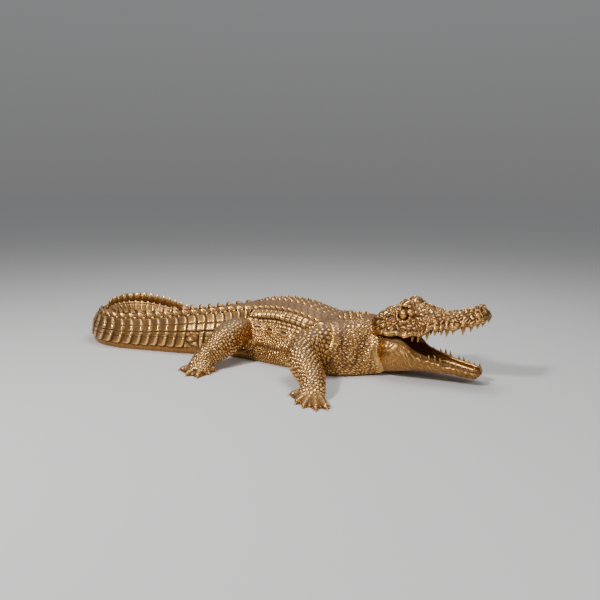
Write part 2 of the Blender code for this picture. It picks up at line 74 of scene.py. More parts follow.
STATIONS = np.array([
    (0.000, 0.48, 0.84, 0.16, 0.0),
    (0.018, 0.58, 0.85, 0.06, 0.0),
    (0.039, 0.74, 0.86, 0.01, 0.0),
    (0.065, 1.00, 0.86, 0.00, 0.1),
    (0.094, 1.07, 0.84, 0.00, 0.5),
    (0.127, 1.01, 0.87, 0.00, 1.0),
    (0.173, 0.97, 0.97, 0.00, 1.0),
    (0.219, 0.96, 1.00, 0.00, 1.0),
    (0.258, 0.93, 0.98, 0.00, 1.0),
    (0.297, 0.86, 0.93, 0.00, 1.2),
    (0.341, 0.76, 0.82, 0.00, 1.6),
    (0.390, 0.70, 0.72, 0.00, 2.0),
    (0.439, 0.68, 0.66, 0.00, 2.0),
    (0.498, 0.57, 0.60, 0.00, 2.0),
    (0.551, 0.47, 0.56, 0.00, 2.0),
    (0.620, 0.38, 0.57, 0.00, 2.1),
    (0.694, 0.32, 0.63, 0.00, 2.6),
    (0.762, 0.28, 0.62, 0.00, 3.0),
    (0.832, 0.23, 0.52, 0.00, 3.0),
    (0.908, 0.17, 0.34, 0.00, 3.0),
    (0.959, 0.11, 0.21, 0.00, 3.0),
    (1.000, 0.05, 0.09, 0.00, 3.0),
])

# The body's lengths end at these shares of the spine. Cross rows of scales run on over them:
# shares of the spine, and how many rows lie before each.

TRUNK_END, TAIL_ROOT_END = 0.2895, 0.6806
ROW_SHARES = (0.0, 0.105, 0.286, 0.293, 0.6806, 0.6883, 1.0)
ROW_COUNTS = (-6.96, 0.0, 12.0, 13.0, 33.0, 34.0, 56.06)

# Rows of keels: their first and last share of the spine.

BACK_ROWS = (0.105, 0.286)
DOUBLE_CREST = (0.293, 0.700)
SINGLE_CREST = (0.660, 0.985)

# Keels of the back: place on the outline, width in metres, and height and length beside the common ones.

BACK_KEELS = ((INNER_ROW, 0.015, 0.85, 0.72), (MIDDLE_ROW, 0.017, 1.0, 0.78), (EDGE_ROW, 0.023, 1.15, 1.05))

# Shapes of keels: lean, place of the peak, power of the rise in front of it, share of the height that both
# ends keep, and power of the height across. Crests have before these how upright they stand, as a share,
# their length beside the pitch, and their width in metres.

BACK_SHAPE = (0.40, 0.66, 0.95)
NAPE_LENGTH, NAPE_WIDTH, NAPE_HEIGHT, NAPE_SHAPE = 0.024, 0.017, 0.0125, (0.35, 0.62, 0.8)
DOUBLE_SHAPE = (0.6, 0.92, 0.028, 0.22, 0.58, 0.52, 0.12, 0.70)
SINGLE_SHAPE = (1.0, 1.02, 0.017, 0.14, 0.54, 0.48, 0.56, 0.50)

# Knobs of the nape: share of the spine, and place on the outline.

NAPE_KNOBS = np.array([
    (0.058, 0.55), (0.066, 0.35), (0.068, 1.15), (0.079, 0.45), (0.081, 1.10), (0.092, 0.35), (0.093, 0.95),
])

# Skull and upper jaw: share of the head's length, share of its half width,
# and the heights of the top and of the lip, as shares of the head's length above the floor.

SKULL = np.array([
    (0.00, 0.55, 0.455, 0.300),
    (0.07, 0.84, 0.520, 0.345),
    (0.20, 1.00, 0.595, 0.368),
    (0.32, 0.93, 0.630, 0.366),
    (0.43, 0.86, 0.625, 0.372),
    (0.50, 0.80, 0.605, 0.392),
    (0.58, 0.73, 0.585, 0.438),
    (0.66, 0.66, 0.585, 0.448),
    (0.74, 0.61, 0.598, 0.456),
    (0.81, 0.55, 0.615, 0.478),
    (0.90, 0.58, 0.650, 0.508),
    (0.955, 0.55, 0.645, 0.528),
    (0.985, 0.43, 0.610, 0.538),
    (1.00, 0.22, 0.580, 0.553),
])

# Its half outline, as shares of the half width and of the height from the lip to the top, over to the palate.

SKULL_OUTLINE = np.array([
    (0.0, 1.0), (0.40, 0.98), (0.72, 0.84), (0.92, 0.55), (1.0, 0.22),
    (0.97, 0.0), (0.80, 0.05), (0.45, 0.12), (0.0, 0.13),
])
LIP = 5  # knot of the skull's outline at the lip
SKULL_SETBACK = 0.20  # how far behind the nape the skull starts, as a share of the head's length
LIP_WAVES = 7.5  # waves of the lip over the length of the head
LIP_WAVE_HEIGHT = 0.0035

# Lower jaw: share of its length from the cheek, share of the head's half width,
# and the heights of the gum, the underside and the floor of the mouth, as shares of the head's length.

JAW = np.array([
    (0.00, 0.66, 0.290, 0.020, 0.200),
    (0.08, 0.90, 0.312, 0.030, 0.190),
    (0.18, 1.00, 0.312, 0.050, 0.160),
    (0.28, 1.00, 0.300, 0.065, 0.140),
    (0.35, 0.98, 0.255, 0.075, 0.130),
    (0.42, 0.93, 0.222, 0.082, 0.130),
    (0.54, 0.83, 0.190, 0.086, 0.125),
    (0.70, 0.69, 0.155, 0.080, 0.112),
    (0.84, 0.57, 0.134, 0.070, 0.096),
    (0.93, 0.50, 0.122, 0.062, 0.086),
    (0.98, 0.38, 0.113, 0.064, 0.084),
    (1.00, 0.22, 0.108, 0.082, 0.088),
])

# Its half outline from the mouth's floor out over the gum and down: shares of the half width, and from the
# third knot on shares of the height from the underside to the gum.

JAW_WIDTHS = np.array((0.0, 0.58, 0.70, 0.84, 0.96, 1.0, 0.92, 0.62, 0.0))
JAW_LEVELS = np.array((1.06, 1.0, 0.92, 0.62, 0.25, 0.0, 0.0))
MOUTH_FLOOR, RIDGE, GUM = 1, 2, 3  # knots of the jaw's outline
JAW_START = 0.10  # how far in front of the skull's start the jaw starts, as a share of the head's length

# Teeth: share of the jaw's length, and size beside a middling tooth.

UPPER_TEETH = np.array([
    (0.425, 1.09), (0.473, 1.44), (0.545, 1.70), (0.608, 1.27), (0.658, 1.19), (0.702, 1.50),
    (0.75, 1.02), (0.83, 1.71), (0.895, 1.28), (0.945, 0.98), (0.980, 0.77),
])
LOWER_TEETH = np.array([
    (0.469, 0.60), (0.549, 1.05), (0.603, 1.60), (0.655, 1.45), (0.748, 1.22), (0.80, 1.35),
    (0.854, 1.12), (0.910, 1.0), (0.970, 1.30),
])
LOWER_TOOTH_SHARE = 0.75  # how wide a lower tooth is beside an upper one

# How far out the teeth stand, as shares of the half width, and how deep a tooth sits in the gum, as a share
# of its length.

UPPER_TOOTH_SPREAD, LOWER_TOOTH_SPREAD = 0.88, 0.85
TOOTH_ROOT = 0.35

# Eyes and nostrils stand at these shares of the head's length. The middle of an eye is this many eye lengths
# below the top of the skull, and the knob in front of it lies this far ahead of it and above it.

EYE_PLACE, NOSTRIL_PLACE, BOSS_PLACE = 0.341, 0.91, 0.94
EYE_DROP, EYE_SPREAD = 0.95, 0.87
KNOB_AHEAD, KNOB_ABOVE = 0.88, 0.30

# Eyeball, knob and the lumps of the lid, in eye lengths: how far ahead, above and outwards of the eyeball's
# middle, the three half axes, and the degrees that the long axis is tilted by.

EYE_BALLS = (
    (0.0, 0.0, 0.0, 0.43, 0.56, 0.52, 0.0),
    (KNOB_AHEAD, KNOB_ABOVE, 0.16, 0.44, 0.31, 0.46, -32.0),
    (-0.60, 0.50, 0.02, 0.2070, 0.1530, 0.18, 0.0),
    (-0.40, 0.88, -0.08, 0.2300, 0.1700, 0.20, 0.0),
    (0.14, 1.02, -0.10, 0.3335, 0.2465, 0.29, 0.0),
    (0.64, 0.88, -0.08, 0.2185, 0.1615, 0.19, 0.0),
    (1.44, 0.36, 0.10, 0.1955, 0.1445, 0.17, 0.0),
)

# Legs: stations of the path from inside the body to the wrist or ankle. Each has the share of the reach
# outwards, the share of the reach forwards, the height as a share of the root's height, and a share of the
# thickness.

FORELEG = np.array([
    (-0.12, 0.02, 0.96, 0.80), (0.17, -0.04, 1.00, 1.00), (0.32, -0.10, 0.87, 0.97), (0.46, -0.07, 0.73, 0.91),
    (0.59, 0.06, 0.57, 0.84), (0.72, 0.19, 0.42, 0.74), (0.84, 0.29, 0.30, 0.59),
])
HINDLEG = np.array([
    (-0.08, -0.06, 0.80, 0.75), (0.22, -0.08, 0.94, 0.92), (0.42, -0.10, 0.90, 0.96), (0.62, -0.11, 0.72, 0.84),
    (0.80, -0.14, 0.52, 0.68), (0.95, -0.16, 0.36, 0.55),
])
FORELEG_STATION, HINDLEG_STATION = 0.103, 0.283
LIMB_ROOT_SPREAD = 0.60
PALM_TURN = 15.0  # degrees that the palm is turned forwards from the leg
SWING = {"right_fore": 0.0, "right_hind": 0.0, "left_fore": -24.0, "left_hind": 20.0}

# Rings of scales on a leg: their pace in metres at its root and at its foot, and how many scales lie round
# it.

LEG_RINGS = {"fore": (0.0175, 0.0125, 19.0), "hind": (0.0135, 0.0105, 24.0)}

# Toes: direction in degrees forwards from straight out, and length beside a middling toe. Below them is a
# toe along its length: the height of its middle and its half height beside half a toe's thickness, and its
# half width beside its half height. Each has the shares of the length, then the values.

TOES = {
    "fore": np.array([(-62.0, 0.61), (-5.0, 0.78), (14.0, 0.96), (32.0, 1.10), (46.0, 1.09)]),
    "hind": np.array([(-59.0, 0.66), (-5.0, 0.67), (27.0, 0.73), (62.0, 0.48), (112.0, 0.40)]),
}
TOE_LEVEL = ((0.12, 0.30, 0.64, 0.86, 0.92), (1.25, 1.06, 0.68, 0.46, 0.42))
TOE_GIRTH = ((0.12, 0.30, 0.64, 0.80, 0.88, 0.92), (0.70, 0.74, 0.72, 0.66, 0.52, 0.30))
TOE_BREADTH = ((0.12, 0.45, 0.80, 0.92), (1.90, 1.65, 1.25, 1.00))
CLAW_LENGTH, CLAW_RADIUS = 0.030, 0.0062

# Kinds of scale: length and width of one, the seed of its scatter, the seam's share, how uneven the heights
# are, and how far a scale wanders. Sizes are in metres, for the flank and the tail's grain in pebble sizes.

SCALES = {
    "flank fine": (0.80, 0.72, 3.0, 0.45, 0.45, 0.75),
    "flank coarse": (1.15, 0.85, 7.0, 0.50, 0.35, 0.60),
    "neck": (0.0118, 0.0088, 41.0, 0.60, 0.65, 0.90),
    "tail fine": (0.80, 0.70, 5.0, 0.35, 0.25, 0.55),
    "tail lumps": (0.030, 0.024, 15.0, 0.90, 0.60, 0.90),
    "crown": (0.0165, 0.0145, 11.0, 0.70, 0.75, 0.95),
    "crown small": (0.0072, 0.0070, 13.0, 0.50, 0.60, 0.90),
    "lip": (0.0150, 1.0, 19.0, 0.75, 0.50, 0.90),
    "jaw light": (0.021, 0.0105, 23.0, 0.70, 0.70, 0.95),
    "jaw small": (0.0085, 0.0085, 27.0, 0.50, 0.50, 0.80),
    "fore": (1.0, 1.0, 31.0, 0.62, 0.50, 0.55),
    "hind": (1.0, 1.0, 31.0, 0.62, 0.50, 0.80),
    "web": (0.0075, 0.0075, 51.0, 0.50, 0.50, 0.70),
}

# The rope of tall plates along the flank. It starts below the edge row, at this share of that row's distance
# from the spine. Each strip under it has its start and depth below there, its plates for each cross row, its
# height and the share of the spine where it ends.

ROPE_START, ROPE_DEPTH, ROPE_SWELL, ROPE_PLATE = 1.14, 0.042, 0.0085, 0.0062
ROPE_SPLIT = 0.2  # share of the spine in front of which the plates of the rope are parted lengthwise
STRIPS = ((0.043, 0.013, 1.22, 0.0040, 0.285), (0.058, 0.014, 1.45, 0.0034, 0.20))

# Slit buttons of the flank: share of the spine, and depth below the rope's start. Folds of the neck: share
# of the spine, slope, and depth. Folds of the cheek: share of the jaw, lean, and depth.

BUTTONS = ((0.124, 0.080), (0.154, 0.088), (0.187, 0.089), (0.223, 0.087), (0.257, 0.081))
BUTTON_LENGTH, BUTTON_WIDTH = 0.0210, 0.0120
NECK_FOLDS = ((0.040, 0.10, 0.0045), (0.062, -0.08, 0.0035))
CHEEK_FOLDS = ((0.045, 0.3, 0.0030), (0.085, 0.2, 0.0020))

# Columns of plates on the back: edges, as shares of the distance to the edge row.

BACK_COLUMNS = (0.0, 0.32, 0.62, 0.84, 1.14)

# Side of the tail, as shares of the way from the crest to the floor: where a ring's hoop leans back and by
# how many rings, and its two arcs, each with its start and end and the depth, place and reach of the groove
# along it.

HOOP_LEAN = (
    (0.0, 0.08, 0.16, 0.26, 0.36, 0.48, 0.60, 0.70, 0.80),
    (0.75, 0.42, 0.20, 0.05, 0.0, 0.02, 0.12, 0.24, 0.42),
)
TAIL_ARCS = ((0.095, 0.418, 0.42, 0.285, 0.014), (0.472, 0.765, 0.38, 0.562, 0.013))
BLADE_ROWS = ((0.0, 0.10, 0.34, 0.38, 0.60, 0.64, 0.84, 1.1), (0.0, 0.97, 1.97, 2.03, 2.97, 3.03, 3.97, 4.6))

# Heights of the relief, in metres.

FINE_HEIGHT, COARSE_HEIGHT, NECK_HEIGHT, BACK_HEIGHT, COLLAR_HEIGHT = 0.0026, 0.0034, 0.0044, 0.0030, 0.0085
HOOP_HEIGHT, TAIL_KNOB_HEIGHT, BLADE_HEIGHT, TAIL_LUMP_HEIGHT = 0.0120, 0.0060, 0.0048, 0.0060
CROWN_HEIGHT, LIP_ROLL, NOSE_RISE, CHEEK_RISE, LEG_HEIGHT = 0.0085, 0.0072, 0.0075, 0.0130, 0.0054
SOCKET_DEPTH = 0.009

# The studio: lamps with their places, aims, sizes in metres and powers in watts, and the camera of the
# photograph.

LAMPS = (
    ("key", (-0.7, -2.7, 2.5), (-0.1, 0.0, 0.1), 0.45, 108.0),
    ("fill", (2.6, -1.8, 1.5), (0.1, 0.0, 0.1), 0.8, 20.0),
    ("top", (0.2, 0.5, 3.0), (-0.1, 0.0, 0.0), 1.4, 45.0),
)
SKY_STRENGTH = 0.50
HORIZON_GREY, SKY_GREY = (0.38, 0.38, 0.38), (0.66, 0.67, 0.70)
FLOOR_REACH = 60.0
CAMERA_PLACE, CAMERA_AIM = (1.31, -2.26899, 0.69), (-0.49285, 0.85364, -0.16849)
CAMERA_ROLL = 0.35  # degrees
SENSOR, FOCAL_PIXELS, PICTURE_PIXELS = 36.0, 645.0, 600.0


def smooth(t):
    """A step that eases in and out: t * t * (3 - 2t), held between 0 and 1."""
    t = np.clip(t, 0.0, 1.0)
    return t * t * (3.0 - 2.0 * t)


def band(x, low, high, soft):
    """1 between low and high, easing to 0 over soft beyond each."""
    return smooth((x - low) / soft + 1.0) * smooth((high - x) / soft + 1.0)


def bump(x, centre, reach):
    """A rounded rise of 1 at the centre: e to the power of minus the square of the distance over the reach.
    """
    return np.exp(-(((x - centre) / reach) ** 2))


def dome(r):
    """A half circle: the root of 1 less the square of r, and 0 outside."""
    return np.sqrt(np.clip(1.0 - r * r, 0.0, 1.0))


def waves(x, pitch):
    """A cosine from 0 to 1 that repeats at the pitch."""
    return 0.5 + 0.5 * np.cos(2.0 * math.pi * x / pitch)


def unit(vectors):
    """The vectors of the last axis, at length 1."""
    return vectors / np.maximum(np.linalg.norm(vectors, axis=-1, keepdims=True), 1e-9)


def circle(count):
    """Angles evenly round a circle."""
    return np.linspace(0.0, 2.0 * math.pi, count, endpoint=False)


def cubic(p, rise, a, b, t):
    """A cubic from p, by the rise to the next knot and the slopes a and b at both, at t from 0 to 1."""
    return p + t * a + t * t * (3 * rise - 2 * a - b) + t**3 * (a + b - 2 * rise)


def curve_through(knots, values, at):
    """Values at places between the knots: a cubic with the slopes of a Catmull-Rom spline."""
    knots = np.asarray(knots, float)
    values = np.asarray(values, float)
    at = np.clip(np.asarray(at, float), knots[0], knots[-1])
    slopes = np.gradient(values, knots, axis=0)
    i = np.clip(np.searchsorted(knots, at, side="right") - 1, 0, len(knots) - 2)
    step = knots[i + 1] - knots[i]
    t = (at - knots[i]) / step
    if values.ndim > 1:
        t, step = t[..., None], step[..., None]
    return cubic(values[i], values[i + 1] - values[i], slopes[i] * step, slopes[i + 1] * step, t)


def outlines_at(outline, t):
    """Points of one half outline per row, (rows, knots, 2), read at t: the same cubic, in whole numbers of
    knots.
    """
    slopes = np.gradient(outline, axis=1)
    i = np.clip(t.astype(int), 0, outline.shape[1] - 2)
    here = outline[:, i]
    return cubic(here, outline[:, i + 1] - here, slopes[:, i], slopes[:, i + 1], (t - i)[:, None])


def fraction(x):
    """What x has beyond its whole number."""
    return x - np.floor(x)


def scatter(i, j, seed):
    """A number from 0 to 1 for each pair of whole numbers: the fraction of a large sine."""
    return fraction(np.sin(i * 127.1 + j * 311.7 + seed * 74.7) * 43758.5453)


def scales(x, y, seed, jitter, around):
    """Irregular scales on a staggered grid, one in each unit square.

    Gives the distance from the border (second nearest centre minus nearest), the distance from the nearest
    centre, and that scale's own number from 0 to 1. around is the count of scales where y closes on itself.
    """
    near = np.full(x.shape, 9.0)
    second = np.full(x.shape, 9.0)
    own = np.zeros(x.shape)
    left, low = np.floor(x), np.floor(y)
    for a in (-1, 0, 1):
        for b in (-2, -1, 0, 1):
            i, j = left + a, low + b
            key = np.mod(j, around) if around else j
            cx = i + 0.5 + jitter * (scatter(i, key, seed) - 0.5)
            cy = j + 0.5 + 0.5 * np.mod(i, 2.0) + jitter * (scatter(i, key, seed + 1.0) - 0.5)
            d = np.hypot(x - cx, y - cy)
            closer = d < near
            second = np.where(closer, near, np.minimum(second, d))
            own = np.where(closer, scatter(i, key, seed + 2.0), own)
            near = np.where(closer, d, near)
    return second - near, near, own


def pebbles(x, y, kind, later=0.0, around=None):
    """Domed scales of a kind, from 0 in the seams to 1 on top, and how clear of the seams each point is.

    A scale falls off with the square of the distance from its centre. later is added to the seed of the
    scatter.
    """
    length, width, seed, seam, uneven, jitter = SCALES[kind]
    border, centre, own = scales(x / length, y / width, seed + later, jitter, around)
    clear = smooth(border / seam)
    return clear * (1.0 - 0.45 * np.clip(centre, 0.0, 1.0) ** 2) * (1.0 - uneven + uneven * own), clear


def drift(x, y, reach, pace):
    """Slow shifts of two coordinates, the sum of two sines each, that make rows of scales wander."""
    a = np.sin(y / pace + 1.3 * np.sin(x / (1.7 * pace))) + 0.6 * np.sin((x + 2.0 * y) / (0.8 * pace))
    b = np.sin(x / (1.1 * pace) + 1.7 * np.sin(y / (1.4 * pace))) + 0.6 * np.sin((2.0 * x - y) / (0.9 * pace))
    return x + reach * a, y + reach * b


def plates(row, across, seam_row, seam_across):
    """Rounded plates that rise to their rear edge, from 0 in the seams to 1, and how clear of the seams they
    are.

    row and across count plates. The seams round the corners of each unit square.
    """
    x = np.clip((np.abs(2.0 * fraction(row) - 1.0) - 1.0 + seam_row) / seam_row, 0.0, None)
    y = np.clip((np.abs(2.0 * fraction(across) - 1.0) - 1.0 + seam_across) / seam_across, 0.0, None)
    clear = smooth(1.0 - np.hypot(x, y))
    return clear * (0.55 + 0.45 * fraction(row)), clear


def hoops(row, across, seam_row, seam_across):
    """Plates with a raised rim on the side of the head: the plates' border times a steep power of the way
    there.
    """
    clear = plates(row, across, seam_row, seam_across)[1]
    own = scatter(np.floor(row), np.floor(across), 5.0)
    return clear * (0.28 + (0.52 + 0.20 * own) * (1.0 - fraction(row)) ** 2.4), clear


def blur(values, reach, closed):
    """Running mean over 2 * reach + 1 rows and columns, taken twice."""
    width = 2 * reach + 1
    for axis in (0, 1, 0, 1):
        pad = [(0, 0), (0, 0)]
        pad[axis] = (reach + 1, reach)
        total = np.cumsum(np.pad(values, pad, mode="wrap" if closed and axis == 1 else "edge"), axis=axis)
        starts = np.arange(total.shape[axis] - width)
        values = (np.take(total, starts + width, axis=axis) - np.take(total, starts, axis=axis)) / width
    return values


class Relief:
    """The height of the hide over a grid, and how clear of its seams each point is, laid in layers. Inside the
    mouth the clearness also holds painted light.
    """

    def __init__(self, height, clear):
        self.height, self.clear = height, clear

    def lay(self, mask, height=0.0, clear=0.0, flattens=1.0, dulls=1.0):
        """Adds a layer times its mask. Where the mask is 1 it first takes away a share of what lies there."""
        self.height = self.height * (1.0 - flattens * mask) + height * mask
        self.clear = self.clear * (1.0 - dulls * mask) + clear * mask

    def brighten(self, clear):
        """Makes points at least as clear of the seams, and so as pale, as the values say. Inside the mouth this
        paints light.
        """
        self.clear = np.maximum(self.clear, clear)

    def worn_and_lit(self, depth=0.0030, closed=True):
        """How rubbed each point is, 0 in a groove to 1 on a ridge: from its height above the blurred height and
        how clear of the seams it is. Inside the mouth it also holds painted light.
        """
        stands = (self.height - blur(self.height, 3, closed)) / depth
        return np.clip(0.30 + 0.40 * self.clear + 0.45 * stands, 0.0, 1.0)


def normals(grid, closed=False):
    """Unit normals of a grid of points: the cross product of its two directions."""
    along = np.gradient(grid, axis=0)
    if closed:
        across = (np.roll(grid, -1, axis=1) - np.roll(grid, 1, axis=1)) / 2.0
    else:
        across = np.gradient(grid, axis=1)
    return unit(np.cross(across, along))


def put_in(name, points, quads, caps, worn_and_lit):
    """A mesh from whole arrays, its faces turned outwards by the sign of its volume, with the attribute of
    rubbing and painted light.
    """
    a, b, c, d = np.moveaxis(points[quads], 1, 0)
    volume = (np.cross(a, b) * c).sum() + (np.cross(a, c) * d).sum()
    for cap in caps:
        fan = points[cap]
        volume += (np.cross(fan[1:-1], fan[2:]) * fan[0]).sum()
    if volume < 0.0:
        quads = quads[:, ::-1]
        caps = [cap[::-1] for cap in caps]
    loops = np.concatenate([quads.ravel(), *caps])
    sizes = np.array([4] * len(quads) + [len(cap) for cap in caps])
    starts = np.cumsum(sizes) - sizes
    mesh = bpy.data.meshes.new(name)
    mesh.vertices.add(len(points))
    mesh.vertices.foreach_set("co", np.ascontiguousarray(points, np.float32).ravel())
    mesh.loops.add(len(loops))
    mesh.loops.foreach_set("vertex_index", loops.astype(np.int32))
    mesh.polygons.add(len(sizes))
    mesh.polygons.foreach_set("loop_start", starts.astype(np.int32))
    mesh.polygons.foreach_set("use_smooth", np.arange(len(sizes)) < len(quads))
    mesh.update(calc_edges=True)
    mesh.attributes.new("wear_and_painted_light", "FLOAT", "POINT").data.foreach_set("value", worn_and_lit.astype(np.float32).ravel())
    mesh.validate()
    obj = bpy.data.objects.new(name, mesh)
    bpy.context.scene.collection.objects.link(obj)
    return obj


def lofts(name, rings, worn_and_lit):
    """Closed shells, one for each first index of rings (shells, sections, points round, 3), with flat ends.
    """
    shells, rows, around = rings.shape[:3]
    index = np.arange(shells * rows * around).reshape(shells, rows, around)
    after = np.roll(index, -1, axis=2)
    quads = np.stack([index[:, :-1], after[:, :-1], after[:, 1:], index[:, 1:]], -1).reshape(-1, 4)
    caps = [cap for shell in index for cap in (shell[0][::-1], shell[-1])]
    return put_in(name, rings.reshape(-1, 3), quads, caps, np.broadcast_to(worn_and_lit, rings.shape[:3]))


def rings_round(centre, wide, tall, beside, above):
    """Points round each centre: each of wide beside it and of tall above it, one for each place round."""
    sideways = wide[..., None] * beside[..., None, :]
    return centre[..., None, :] + sideways + tall[..., None] * above[..., None, :]


def finish_piece(obj, material):
    """Gives a piece its material and ties it to the frame."""
    obj.data.materials.append(material)
    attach(obj, "root")
    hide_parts(NODE)
    return obj


def spine_at(k, share):
    """Place on the spine, and unit vectors forwards and to the left.

    The heading is the sum of the bends, each eased in and out, and the place is the sum of its steps.
    """
    steps = 800
    table = np.linspace(0.0, 1.0, steps + 1)
    turn = sum(math.radians(angle) * smooth((table - start) / (end - start)) for start, end, angle in BENDS)
    middle = 0.5 * (turn[1:] + turn[:-1])
    pace = k.spine_length / steps
    x = k.nape - pace * np.concatenate([[0.0], np.cumsum(np.cos(middle))])
    y = -pace * np.concatenate([[0.0], np.cumsum(np.sin(middle))])
    angle = np.interp(share, table, turn)
    place = np.stack([np.interp(share, table, x), np.interp(share, table, y)], -1)
    forward = np.stack([np.cos(angle), np.sin(angle)], -1)
    left = np.stack([-np.sin(angle), np.cos(angle)], -1)
    return place, forward, left


def body_sections(k, share, t):
    """Lateral offset and height of the body's half outline at stations share and places t, as (rows,
    places).
    """
    width, top, under, kind = curve_through(STATIONS[:, 0], STATIONS[:, 1:], share).T
    low = np.clip(kind.astype(int), 0, len(OUTLINES) - 2)
    mixed = OUTLINES[low] + (kind - low)[:, None, None] * (OUTLINES[low + 1] - OUTLINES[low])
    points = outlines_at(mixed, t)
    top = (top * k.body_height)[:, None]
    under = (under * k.body_height - k.sink)[:, None]
    return points[..., 0] * (width * k.body_width / 2)[:, None], under + points[..., 1] * (top - under)


def even_columns(lateral, height, reach):
    """Reads outlines (rows, places) at even steps of their length: reach runs from 0 to 1."""
    step = np.hypot(np.diff(lateral, axis=1), np.diff(height, axis=1))
    arc = np.concatenate([np.zeros((len(step), 1)), np.cumsum(step, axis=1)], axis=1)
    at = arc[:, -1:] * reach
    rows = [(np.interp(a, c, x), np.interp(a, c, z)) for a, c, x, z in zip(at, arc, lateral, height)]
    return np.array([r[0] for r in rows]), np.array([r[1] for r in rows]), at, arc


def body_skin(k, share, columns):
    """The body's skin on a grid: rows along the spine, columns from the right contact corner over to the
    left.

    Gives the points, the signed distance from the middle of the back along the skin, and for each row the
    distance of the crest line and of the contact corner.
    """
    lateral, height = body_sections(k, share, np.linspace(0.0, CORNER, CORNER * BODY_STEPS + 1))
    across = np.linspace(-1.0, 1.0, columns)
    side_x, side_z, at, arc = even_columns(lateral, height, np.abs(across))
    sign = np.sign(across)
    place, _, left = spine_at(k, share)
    plan = place[:, None] + (side_x * sign)[..., None] * left[:, None]
    points = np.concatenate([plan, side_z[..., None]], axis=2)
    return points, at * sign, arc[:, [EDGE_ROW * BODY_STEPS]], arc[:, [-1]]


def limb_rings(k, name):
    """A leg's path down to the palm, its half widths and half heights, its two directions, and the toes'
    hub.
    """
    fore = name.endswith("fore")
    side = 1.0 if name.startswith("left") else -1.0
    station, table = (FORELEG_STATION, FORELEG) if fore else (HINDLEG_STATION, HINDLEG)
    reach = k.foreleg_reach if fore else k.hindleg_reach
    thickness = k.foreleg_thickness if fore else k.hindleg_thickness
    width = curve_through(STATIONS[:, 0], STATIONS[:, 1], station) * k.body_width / 2
    place, _, left = spine_at(k, station)
    root = np.append(place + left * width * LIMB_ROOT_SPREAD * side, 0.0)
    turn = math.radians(SWING[name])
    out = np.array([math.sin(turn), math.cos(turn) * side, 0.0])
    ahead = np.array([math.cos(turn), -math.sin(turn) * side, 0.0])
    up = UP * k.limb_root_height
    points = root + table[:, :1] * reach * out + table[:, 1:2] * reach * ahead + table[:, 2:3] * up
    knots = np.arange(len(points))
    fine = np.linspace(0.0, len(points) - 1.0, 8)
    path = curve_through(knots, points, fine)
    radius = curve_through(knots, table[:, 3] / 2, fine) * thickness
    end, low = radius[-1], k.toe_thickness * 0.5
    aim = out * math.cos(math.radians(PALM_TURN)) + ahead * math.sin(math.radians(PALM_TURN))
    palm = path[-1] + np.outer((0.9, 1.9), aim) * end
    palm[:, 2] = (0.66 * end, low)
    wide = np.append(radius, (1.25 * end, 1.30 * end))
    tall = np.append(radius, (0.72 * end, low))
    return np.vstack([path, palm]), wide, tall, out, ahead, path[-1] + aim * 0.25 * end


def clear_of_limbs(k, points):
    """Distance of each point from the skin of the nearest leg: to its path, less its radius there."""
    nearest = np.full(points.shape[:2], 9.0)
    for name in SWING:
        path, wide, *_ = limb_rings(k, name)
        fine = np.linspace(0.0, 5.0, 26)
        knots = np.arange(len(path))
        for p, r in zip(curve_through(knots, path, fine), curve_through(knots, wide, fine)):
            nearest = np.minimum(nearest, np.linalg.norm(points - p, axis=2) - r)
    return nearest


